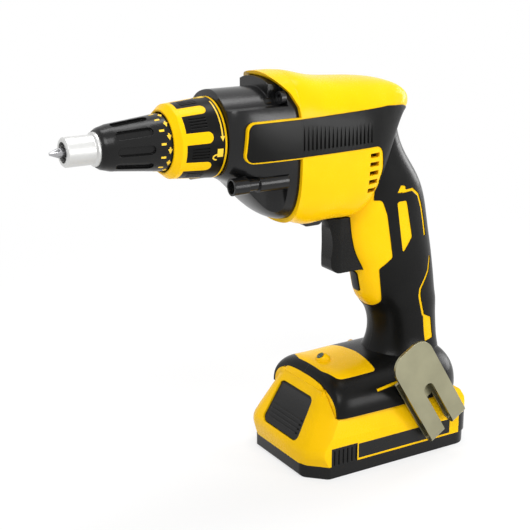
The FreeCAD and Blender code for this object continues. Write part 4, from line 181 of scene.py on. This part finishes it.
class FinishTree(NodeTree):
    """The node tree of one finish."""

    def __init__(self, name: str) -> None:
        """Start an empty material.

        Args:
            name: Name of the material.
        """
        self.material = bpy.data.materials.new(name)
        self.material.use_nodes = True
        super().__init__(self.material.node_tree)

    def place(self) -> Field:
        """The point on the surface, in metres in the object's own frame."""
        return self.node("ShaderNodeTexCoord", output="Object")

    def axis(self, name: str) -> Field:
        """One coordinate of that point, by the name of its axis."""
        return self.node("ShaderNodeSeparateXYZ", {}, {0: self.place()}, name)

    def stretched(self, scale: Sequence[float], turn: Sequence[float]) -> Field:
        """The point turned, then scaled on each axis."""
        turned = self.node("ShaderNodeMapping", {"vector_type": "POINT"},
                           {"Vector": self.place(), "Rotation": turn})
        return self.node("ShaderNodeMapping", {"vector_type": "POINT"},
                         {"Vector": turned, "Scale": scale})

    def noise(self, vector: Field, scale: float, detail: float = 2.0) -> Field:
        """Soft noise between 0 and 1 with a mean near a half."""
        return self.node("ShaderNodeTexNoise", {},
                         {"Vector": vector, "Scale": scale, "Detail": detail})

    def blend(self, factor: Term, first: Any, second: Any) -> Field:
        """Mix two colours by a factor."""
        return self.node("ShaderNodeMix", {"data_type": "RGBA"}, {0: factor, 6: first, 7: second}, 2)

    def relief(self, height: Field, depth: float, edge: float) -> Field:
        """Give a normal with rounded edges and a fine relief.

        Args:
            height: The relief between 0 and 1.
            depth: How deep the relief is, in metres.
            edge: Radius that the edges seem to have, in metres.

        Returns:
            The normal.
        """
        values: Dict[Any, Any] = {"Height": height, "Distance": depth, "Strength": 1.0}
        if edge > 0.0:
            values["Normal"] = self.node("ShaderNodeBevel", {"samples": BEVEL_SAMPLES}, {"Radius": edge})
        return self.node("ShaderNodeBump", {}, values)

    def close(self, values: Dict[str, Any]) -> bpy.types.Material:
        """End the tree in a Principled shader.

        Args:
            values: Its values or links by socket name.

        Returns:
            The finished material.
        """
        shader = self.node("ShaderNodeBsdfPrincipled", {}, values)
        self.node("ShaderNodeOutputMaterial", {}, {"Surface": shader})
        return self.material


@dataclass(frozen=True)
class Moulding:
    """Moulded plastic or rubber: a drifting colour, a fine grain and softened edges."""

    name: str
    colour: Colour
    roughness: float
    coat: float = 0.0
    coat_roughness: float = 0.08
    specular: float = 0.5
    drift: float = 0.05
    cloud: float = 42.0
    cloud_range: Span = (0.32, 0.68)
    cloud_roughness: float = 0.10
    grain: float = 1600.0
    grain_depth: float = 0.012 * MM
    grain_roughness: float = 0.12
    edge: float = 0.35 * MM

    def material(self) -> bpy.types.Material:
        """Build the material: a wide noise shifts the colour and a fine one makes the grain.

        Returns:
            The material.
        """
        tree = FinishTree(self.name)
        place = tree.place()
        cloud = tree.noise(place, self.cloud, CLOUD_DETAIL)
        speck = tree.noise(place, self.grain)
        rough = (self.roughness + (cloud - MEAN_NOISE) * self.cloud_roughness
                 + (speck - MEAN_NOISE) * self.grain_roughness)
        tone = tree.blend(cloud.ease(*self.cloud_range), shaded(self.colour, 1.0 - self.drift),
                          shaded(self.colour, 1.0 + self.drift))
        values = {"Base Color": tone, "Roughness": rough, "Specular IOR Level": self.specular,
                  "Normal": tree.relief(speck, self.grain_depth, self.edge)}
        if self.coat > 0.0:
            values["Coat Weight"] = self.coat
            values["Coat Roughness"] = self.coat_roughness
        return tree.close(values)


class Lie(Enum):
    """How the tool marks of a metal run: scale on each axis of the noise, and its turn about Y."""

    TURNED = ((2600.0, 60.0, 60.0), 0.0)
    HOOK = ((60.0, 2400.0, 2400.0), math.radians(58.2))
    CAST = ((900.0, 900.0, 900.0), 0.0)


@dataclass(frozen=True)
class Metal:
    """Metal with tool marks along its lie."""

    name: str
    colour: Colour
    roughness: float
    lie: Lie = Lie.TURNED
    mark_depth: float = 0.008 * MM
    mark_roughness: float = 0.16
    edge: float = 0.2 * MM
    drift: float = 0.10
    cloud: float = 60.0
    cloud_range: Span = (0.3, 0.7)
    cloud_roughness: float = 0.08

    def material(self) -> bpy.types.Material:
        """Build the material: a stretched noise makes the marks and a wide one shifts the colour.

        Returns:
            The material.
        """
        tree = FinishTree(self.name)
        scale, turn = self.lie.value
        marks = tree.noise(tree.stretched(scale, (0.0, turn, 0.0)), 1.0, CLOUD_DETAIL)
        cloud = tree.noise(tree.place(), self.cloud, CLOUD_DETAIL)
        tone = tree.blend(cloud.ease(*self.cloud_range), shaded(self.colour, 1.0 - self.drift),
                          shaded(self.colour, 1.0 + self.drift))
        rough = (self.roughness + (marks - MEAN_NOISE) * self.mark_roughness
                 + (cloud - MEAN_NOISE) * self.cloud_roughness)
        return tree.close({"Base Color": tone, "Metallic": 1.0, "Roughness": rough,
                           "Normal": tree.relief(marks, self.mark_depth, self.edge)})


@dataclass(frozen=True)
class Winding:
    """Enamelled wire laid in turns side by side."""

    name: str
    colour: Colour
    pitch: float = 0.9 * MM
    depth: float = 0.1 * MM
    # factor that darkens the colour in the grooves between turns: painted shade
    painted_groove_shade: float = 0.55
    metallic: float = 0.85
    roughness: float = 0.32
    cloud: float = 150.0
    cloud_roughness: float = 0.2

    def material(self) -> bpy.types.Material:
        """Build the material: a sine across the motor makes the turns, with painted shade in the grooves
        between them.

        Returns:
            The material.
        """
        tree = FinishTree(self.name)
        turns = ((tree.axis("Y") + tree.axis("Z")) * (2.0 * math.pi / self.pitch)).sine() * 0.5 + 0.5
        cloud = tree.noise(tree.place(), self.cloud)
        # painted shade: the colour darkens where the relief dips, in the grooves between turns
        tone = tree.blend(turns, shaded(self.colour, self.painted_groove_shade), self.colour)
        rough = self.roughness + (cloud - MEAN_NOISE) * self.cloud_roughness
        return tree.close({"Base Color": tone, "Metallic": self.metallic, "Roughness": rough,
                           "Normal": tree.relief(turns, self.depth, 0.0)})


@dataclass(frozen=True)
class CircuitBoard:
    """Solder mask over etched tracks."""

    name: str
    mask: Colour
    track: Colour
    scale: float = 260.0
    track_width: float = 0.03
    stagger: float = 0.37
    depth: float = 0.03 * MM
    edge: float = 0.1 * MM
    roughness: float = 0.3
    track_roughness: float = 0.1

    def material(self) -> bpy.types.Material:
        """Build the material: the joints of brick courses stand for the tracks.

        Returns:
            The material.
        """
        tree = FinishTree(self.name)
        courses = {"Vector": tree.place(), "Scale": self.scale, "Mortar Size": self.track_width}
        tracks = tree.node("ShaderNodeTexBrick", {"offset": self.stagger}, courses, "Fac")
        tone = tree.blend(tracks, self.mask, self.track)
        return tree.close({"Base Color": tone,
                           "Roughness": self.roughness + tracks * self.track_roughness,
                           "Normal": tree.relief(tracks, self.depth, self.edge)})


@dataclass(frozen=True)
class ClearLens:
    """Clear moulded lens."""

    name: str
    colour: Colour
    index: float = 1.49
    roughness: float = 0.06
    grain: float = 700.0
    grain_depth: float = 0.01 * MM
    grain_roughness: float = 0.05

    def material(self) -> bpy.types.Material:
        """Build the material: a faint grain breaks up what shows through.

        Returns:
            The material.
        """
        tree = FinishTree(self.name)
        speck = tree.noise(tree.place(), self.grain)
        return tree.close({"Base Color": self.colour, "Transmission Weight": 1.0, "IOR": self.index,
                           "Roughness": self.roughness + speck * self.grain_roughness,
                           "Normal": tree.relief(speck, self.grain_depth, 0.0)})


Finish = Union[Moulding, Metal, Winding, CircuitBoard, ClearLens]

SLOT_FINISHES: Dict[str, Finish] = {
    "yellow_plastic": Moulding("gloss_yellow", (0.90, 0.53, 0.002), 0.26, specular=0.08, drift=0.03,
                               grain=1100.0, grain_depth=0.006 * MM, edge=0.5 * MM),
    "black_rubber": Moulding("grip_rubber", (0.0045, 0.0045, 0.0043), 0.3, specular=0.12, drift=0.15,
                             grain=2300.0, grain_depth=0.03 * MM, edge=0.45 * MM),
    "black_plastic": Moulding("black_nylon", (0.006, 0.006, 0.006), 0.23, specular=0.22, drift=0.15,
                              grain=1900.0),
    "black_casting": Moulding("coated_casting", (0.006, 0.006, 0.0063), 0.24, specular=0.3, drift=0.15,
                              grain=1300.0, grain_depth=0.02 * MM, edge=0.6 * MM),
    "tool_steel": Metal("tool_steel", (0.42, 0.42, 0.43), 0.3),
    "black_screws": Metal("black_oxide", (0.05, 0.05, 0.055), 0.34, Lie.CAST),
    "bright_metal": Metal("satin_bright", (0.78, 0.78, 0.79), 0.33),
    "hook_steel": Metal("hook_sheet", (0.33, 0.315, 0.21), 0.34, Lie.HOOK, edge=0.25 * MM, drift=0.06),
    "brass": Metal("brass", (0.72, 0.48, 0.2), 0.3),
    "circuit_board": CircuitBoard("circuit_board", (0.02, 0.13, 0.06), (0.08, 0.3, 0.14)),
    "cell_sleeve": Moulding("cell_sleeve", (0.08, 0.22, 0.4), 0.3, coat=0.3),
    "light_lens": ClearLens("light_lens", (0.95, 0.96, 0.94)),
}
NODE_FINISHES: Dict[str, Finish] = {
    "battery_labels": Moulding("label_film", (0.007, 0.007, 0.007), 0.3, specular=0.25),
    "direction_button": Moulding("smoked_knob", (0.015, 0.015, 0.016), 0.16, specular=0.35,
                                 edge=0.6 * MM),
    "trigger": Moulding("trigger_nylon", (0.007, 0.007, 0.0066), 0.27, specular=0.15, drift=0.15,
                        grain_depth=0.015 * MM, edge=0.5 * MM),
    "depth_locator": Metal("satin_locator", (0.64, 0.64, 0.63), 0.4, mark_depth=0.003 * MM,
                           edge=0.3 * MM, drift=0.03),
    "gear_case_screws": Moulding("black_zinc", (0.012, 0.012, 0.013), 0.3, specular=0.4),
    "stator_coils": Winding("enamelled_wire", (0.6, 0.27, 0.09)),
    "stator": Metal("laminations", (0.3, 0.3, 0.31), 0.42),
    "rotor_core": Metal("rotor_laminations", (0.3, 0.3, 0.31), 0.42),
    "rotor_magnets": Metal("magnet_plating", (0.5, 0.5, 0.5), 0.3, Lie.CAST),
}


class Dresser:
    """Gives each CAD node its finish and its smooth shading."""

    def __init__(self, crease: float = math.radians(32.0), gap: float = 0.002 * MM) -> None:
        """Start with no materials made.

        Args:
            crease: Angle above which an edge stays sharp, in radians.
            gap: Gap below which corners are welded, in metres.
        """
        self.crease = crease
        self.gap = gap
        self.made: Dict[str, bpy.types.Material] = {}

    def finish(self, finish: Finish) -> bpy.types.Material:
        """Give a finish's material, built once.

        Args:
            finish: The finish.

        Returns:
            Its material.
        """
        if finish.name not in self.made:
            self.made[finish.name] = finish.material()
        return self.made[finish.name]

    def dress(self, piece: bpy.types.Object, finish: Finish) -> None:
        """Put a finish on a piece."""
        piece.data.materials.clear()
        piece.data.materials.append(self.finish(finish))

    def smooth(self, piece: bpy.types.Object) -> None:
        """Weld the loose triangles, keep sharp edges and shade the rest smooth.

        Args:
            piece: The CAD node's object.
        """
        piece.data.shade_smooth()
        weld = piece.modifiers.new("weld", "WELD")
        weld.merge_threshold = self.gap
        split = piece.modifiers.new("creases", "EDGE_SPLIT")
        split.split_angle = self.crease

    def dress_nodes(self) -> None:
        """Dress every CAD node from its slot, or from its own finish where it has one."""
        for part in frame["record"]["subparts"]:
            name = part["node"]
            finish = NODE_FINISHES.get(name, SLOT_FINISHES[part["material_slot"]])
            piece = frame["nodes"][name]
            self.smooth(piece)
            self.dress(piece, finish)
            LOG.info("%s wears %s", name, finish.name)


def joined(name: str, sheets: Sequence[np.ndarray]) -> bpy.types.Object:
    """Make one mesh from grids of points, each point joined to its neighbours by quads.

    Args:
        name: Name of the piece.
        sheets: Arrays of rows by columns by 3, in metres.

    Returns:
        The new object, linked to the scene.
    """
    corners: List[np.ndarray] = []
    faces: List[np.ndarray] = []
    start = 0
    for points in sheets:
        rows, columns = points.shape[:2]
        index = np.arange(rows * columns).reshape(rows, columns) + start
        ring = [index[:-1, :-1], index[1:, :-1], index[1:, 1:], index[:-1, 1:]]
        faces.append(np.stack(ring, axis=-1).reshape(-1, 4))
        corners.append(points.reshape(-1, 3))
        start += rows * columns
    mesh = bpy.data.meshes.new(name)
    mesh.from_pydata(np.concatenate(corners).tolist(), [], np.concatenate(faces).tolist())
    mesh.update()
    piece = bpy.data.objects.new(name, mesh)
    bpy.context.scene.collection.objects.link(piece)
    return piece


@dataclass(frozen=True)
class RoundFace:
    """A face turned about the spindle, which printed marks lie on.

    A flat drawing in millimetres, along the axis and around the girth, is laid on it: the first
    coordinate is X and the second is an arc length from the top towards the hook side.
    """

    stations: Sequence[Span]
    lift: float = 0.06

    def girth(self) -> float:
        """Give the mean radius, over which arc lengths are measured."""
        return sum(radius for _, radius in self.stations) / len(self.stations)

    def lay(self, flat: np.ndarray) -> np.ndarray:
        """Wrap a grid of flat points round the face: angle is arc over radius.

        Args:
            flat: Array of rows by columns by 2, in millimetres.

        Returns:
            Points in metres, rows by columns by 3.
        """
        places, radii = np.array(self.stations, float).T
        along = flat[..., 0]
        out = np.interp(along, places, radii) + self.lift
        angle = flat[..., 1] / self.girth()
        across, up = -out * np.sin(angle), SPINDLE_Z / MM + out * np.cos(angle)
        return np.stack([along, across, up], axis=-1) * MM


def ribbon(path: np.ndarray, width: float, across: int = 3) -> np.ndarray:
    """A line of even width: the path's points moved sideways along its normals.

    Args:
        path: Points of the middle line, rows by 2.
        width: Width of the line.
        across: Points across the line.

    Returns:
        Grid of flat points.
    """
    run = np.gradient(path, axis=0)
    run /= np.linalg.norm(run, axis=1, keepdims=True)
    side = np.stack([run[:, 1], -run[:, 0]], axis=1)
    shares = np.linspace(-0.5, 0.5, across) * width
    return path[:, None, :] + side[:, None, :] * shares[None, :, None]


def ruled(first: np.ndarray, second: np.ndarray, across: int = 6) -> np.ndarray:
    """A flat patch between two edges, whose points are joined by straight lines."""
    share = np.linspace(0.0, 1.0, across)[None, :, None]
    return first[:, None, :] * (1.0 - share) + second[:, None, :] * share


@dataclass
class NoseMarks:
    """Printed marks on the depth cone and the lock collar, sized in millimetres."""

    dresser: Dresser
    ink: Finish = Moulding("mark_ink", (0.9, 0.58, 0.02), 0.4, edge=0.0)
    film: float = 0.12
    cone: RoundFace = RoundFace(((-160.5, 12.0), (-128.0, 15.4)))
    collar: RoundFace = RoundFace(((-130.0, 19.7), (-103.1, 21.5)))
    ticks: int = 13
    tick_span: Span = (-137.0, -134.4)
    tick_width: float = 1.1
    tick_points: int = 4
    pointer_x: float = -132.4
    pointer_share: float = 0.25
    pointer_length: float = 0.9
    pointer_head: float = 2.5
    lock_x: float = -106.9
    lock_shut_arc: float = -1.0
    lock_open_arc: float = 36.8
    lock_size: float = 1.45
    lock_half: Span = (1.1, 1.5)
    lock_points: int = 6
    hoop_reach: float = 1.5
    hoop_swing: float = 1.6
    hoop_line: float = 0.5
    hoop_points: int = 15
    guide_x: float = -105.6
    guide_arc: float = 7.0
    guide_length: float = 21.4
    guide_head: float = 2.6
    shaft_share: float = 0.3
    shaft_points: int = 8
    head_points: int = 5
    blunt: float = 0.01

    def finish_marks(self, name: str, drawings: Sequence[np.ndarray], face: RoundFace,
                     body: str) -> bpy.types.Object:
        """Make marks a thin film that rides on a body.

        Args:
            name: Name of the piece.
            drawings: Flat grids of its parts.
            face: The face that they lie on.
            body: The body that it moves with.

        Returns:
            The piece.
        """
        piece = joined(name, [face.lay(flat) for flat in drawings])
        film = piece.modifiers.new("film", "SOLIDIFY")
        film.thickness = self.film * MM
        film.offset = -1.0
        self.dresser.dress(piece, self.ink)
        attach(piece, body)
        LOG.info("%s rides on %s", name, body)
        return piece

    def padlock(self, x: float, arc: float, opened: bool) -> List[np.ndarray]:
        """Draw a padlock: a block, and a half round hoop that is swung out when it is open.

        Args:
            x: Middle of the block along the axis.
            arc: Middle of the block round the girth.
            opened: Whether the hoop is swung out.

        Returns:
            The block's and the hoop's grids.
        """
        half_x, half_arc = self.lock_half
        edge = np.linspace(-half_arc, half_arc, self.lock_points) * self.lock_size
        half = np.full(self.lock_points, half_x * self.lock_size)
        block = ruled(np.stack([x - half, arc + edge], axis=1), np.stack([x + half, arc + edge], axis=1))
        sweep = np.linspace(0.0, math.pi, self.hoop_points)
        shift = self.hoop_swing if opened else 0.0
        hoop = np.stack([-half_x - self.hoop_reach * np.sin(sweep), shift + np.cos(sweep)], axis=1)
        line = ribbon(hoop * self.lock_size + np.array([x, arc]), self.hoop_line * self.lock_size)
        return [block, line]

    def arrow(self, x: float, arc: float, length: float, head: float) -> List[np.ndarray]:
        """Draw an arrow round the girth: a shaft and a head that narrows to a point.

        Args:
            x: Place of the arrow along the axis.
            arc: Where its shaft starts round the girth.
            length: Length of the shaft.
            head: Length and width of the head.

        Returns:
            The shaft's and the head's grids.
        """
        run = arc + np.linspace(0.0, length, self.shaft_points)
        line = np.stack([np.full_like(run, x), run], axis=1)
        span = np.linspace(0.0, 1.0, self.head_points)
        half, tip = head / 2 * (1.0 - span), arc + length + head * span
        left = np.stack([x - half, tip], axis=1)
        right = np.stack([x + half + self.blunt, tip], axis=1)
        return [ribbon(line, head * self.shaft_share), ruled(left, right)]

    def build(self) -> None:
        """Make the marks of the cone and of the collar."""
        pitch = 2.0 * math.pi * self.cone.girth() / self.ticks
        scale: List[np.ndarray] = []
        for arc in pitch * np.arange(self.ticks):
            run = np.linspace(*self.tick_span, self.tick_points)
            bar = np.stack([run, np.full_like(run, arc)], axis=1)
            scale.append(ribbon(bar, self.tick_width))
            scale += self.arrow(self.pointer_x, arc + self.pointer_share * pitch,
                                self.pointer_length, self.pointer_head)
        self.finish_marks("cone_marks", scale, self.cone, "depth_cone")
        signs = self.padlock(self.lock_x, self.lock_shut_arc, False)
        signs += self.padlock(self.lock_x, self.lock_open_arc, True)
        signs += self.arrow(self.guide_x, self.guide_arc, self.guide_length, self.guide_head)
        self.finish_marks("collar_marks", signs, self.collar, "lock_collar")


@dataclass(frozen=True)
class SoftBox:
    """A soft box: its place from the object's middle and its face in metres, and its watts."""

    name: str
    offset: Place
    size: Span
    power: float

    def hang(self, middle: Place) -> None:
        """Hang the lamp so that it faces the object's middle.

        Args:
            middle: The object's middle.
        """
        data = bpy.data.lights.new(self.name, "AREA")
        data.shape = "RECTANGLE"
        data.size, data.size_y = self.size
        data.energy = self.power
        light = bpy.data.objects.new(self.name, data)
        light.location = Vector(middle) + Vector(self.offset)
        light.rotation_euler = (-Vector(self.offset)).to_track_quat("-Z", "Y").to_euler()
        bpy.context.scene.collection.objects.link(light)


@dataclass
class Studio:
    """Floor, lights and camera, in metres and degrees."""

    target: Place = (-67.76 * MM, 0.0, 122.39 * MM)
    azimuth: float = -31.06
    elevation: float = 16.81
    distance: float = 668.32 * MM
    focal_pixels: float = 1193.4
    frame_pixels: float = 530.0
    sensor: float = 36.0
    clip: Span = (0.01, 50.0)
    sky: float = 0.42
    floor_half: float = 6.0
    floor_points: int = 5
    floor_drop: float = 0.3 * MM
    floor_dark: Colour = (0.86, 0.86, 0.86)
    floor_light: Colour = (0.9, 0.9, 0.9)
    floor_cloud: float = 3.0
    near_white: float = 0.7
    white_span: Span = (0.16, 0.6)
    middle: Place = (-0.03, 0.0, 0.12)
    boxes: Tuple[SoftBox, ...] = (
        SoftBox("key_box", (-0.55, -0.85, 1.0), (0.7, 0.6), 11.0),
        SoftBox("side_box", (0.65, -1.0, 0.2), (0.35, 0.5), 5.5),
        SoftBox("rim_box", (1.1, 0.15, 0.3), (0.4, 0.7), 6.0),
        SoftBox("top_box", (0.1, 0.25, 1.2), (1.1, 0.35), 8.0),
    )

    def camera(self) -> None:
        """Set the camera at the photograph's viewing angle."""
        data = bpy.data.cameras.new("photo_camera")
        data.sensor_width = self.sensor
        data.lens = self.focal_pixels / self.frame_pixels * self.sensor
        data.clip_start, data.clip_end = self.clip
        turn, rise = math.radians(self.azimuth), math.radians(self.elevation)
        level = math.cos(rise)
        back = Vector((math.sin(turn) * level, -math.cos(turn) * level, math.sin(rise)))
        seen = bpy.data.objects.new("photo_camera", data)
        seen.location = Vector(self.target) + back * self.distance
        seen.rotation_euler = (-back).to_track_quat("-Z", "Y").to_euler()
        bpy.context.scene.collection.objects.link(seen)
        bpy.context.scene.camera = seen

    def world(self) -> None:
        """Give an even sky that shows white behind the object."""
        world = bpy.data.worlds.new("studio")
        bpy.context.scene.world = world
        world.use_nodes = True
        tree = NodeTree(world.node_tree)
        lit, plain = (tree.node("ShaderNodeBackground", {}, {"Color": WHITE, "Strength": strength})
                      for strength in (self.sky, 1.0))
        tree.node("ShaderNodeOutputWorld", {}, {"Surface": tree.backdrop(lit, plain, 1.0)})

    def floor(self) -> None:
        """Lay a wide pale floor under the object, white to the camera but for the shadow."""
        across = np.linspace(-self.floor_half, self.floor_half, self.floor_points)
        flat = np.meshgrid(across, across, [-self.floor_drop], indexing="ij")
        ground = joined("studio_floor", [np.stack(flat, axis=-1)[:, :, 0, :]])
        tree = FinishTree("pale_floor")
        cloud = tree.noise(tree.place(), self.floor_cloud)
        paint = tree.blend(cloud, self.floor_dark, self.floor_light)
        lit = tree.node("ShaderNodeBsdfDiffuse", {}, {"Color": paint})
        plain = tree.node("ShaderNodeEmission", {}, {"Color": WHITE, "Strength": 1.0})
        away = tree.node("ShaderNodeVectorMath", {"operation": "LENGTH"}, {0: tree.place()}, "Value")
        share = self.near_white + away.ease(*self.white_span) * (1.0 - self.near_white)
        tree.node("ShaderNodeOutputMaterial", {}, {"Surface": tree.backdrop(lit, plain, share)})
        ground.data.materials.append(tree.material)

    def build(self) -> None:
        """Set up the whole studio."""
        self.camera()
        self.world()
        self.floor()
        for box in self.boxes:
            box.hang(self.middle)
        bpy.context.scene.view_settings.view_transform = "Standard"


def main() -> None:
    """Dress the nodes, add the marks and set up the studio."""
    logging.basicConfig(level=logging.INFO)
    dresser = Dresser()
    dresser.dress_nodes()
    NoseMarks(dresser).build()
    Studio().build()


if __name__ == "__main__":
    main()
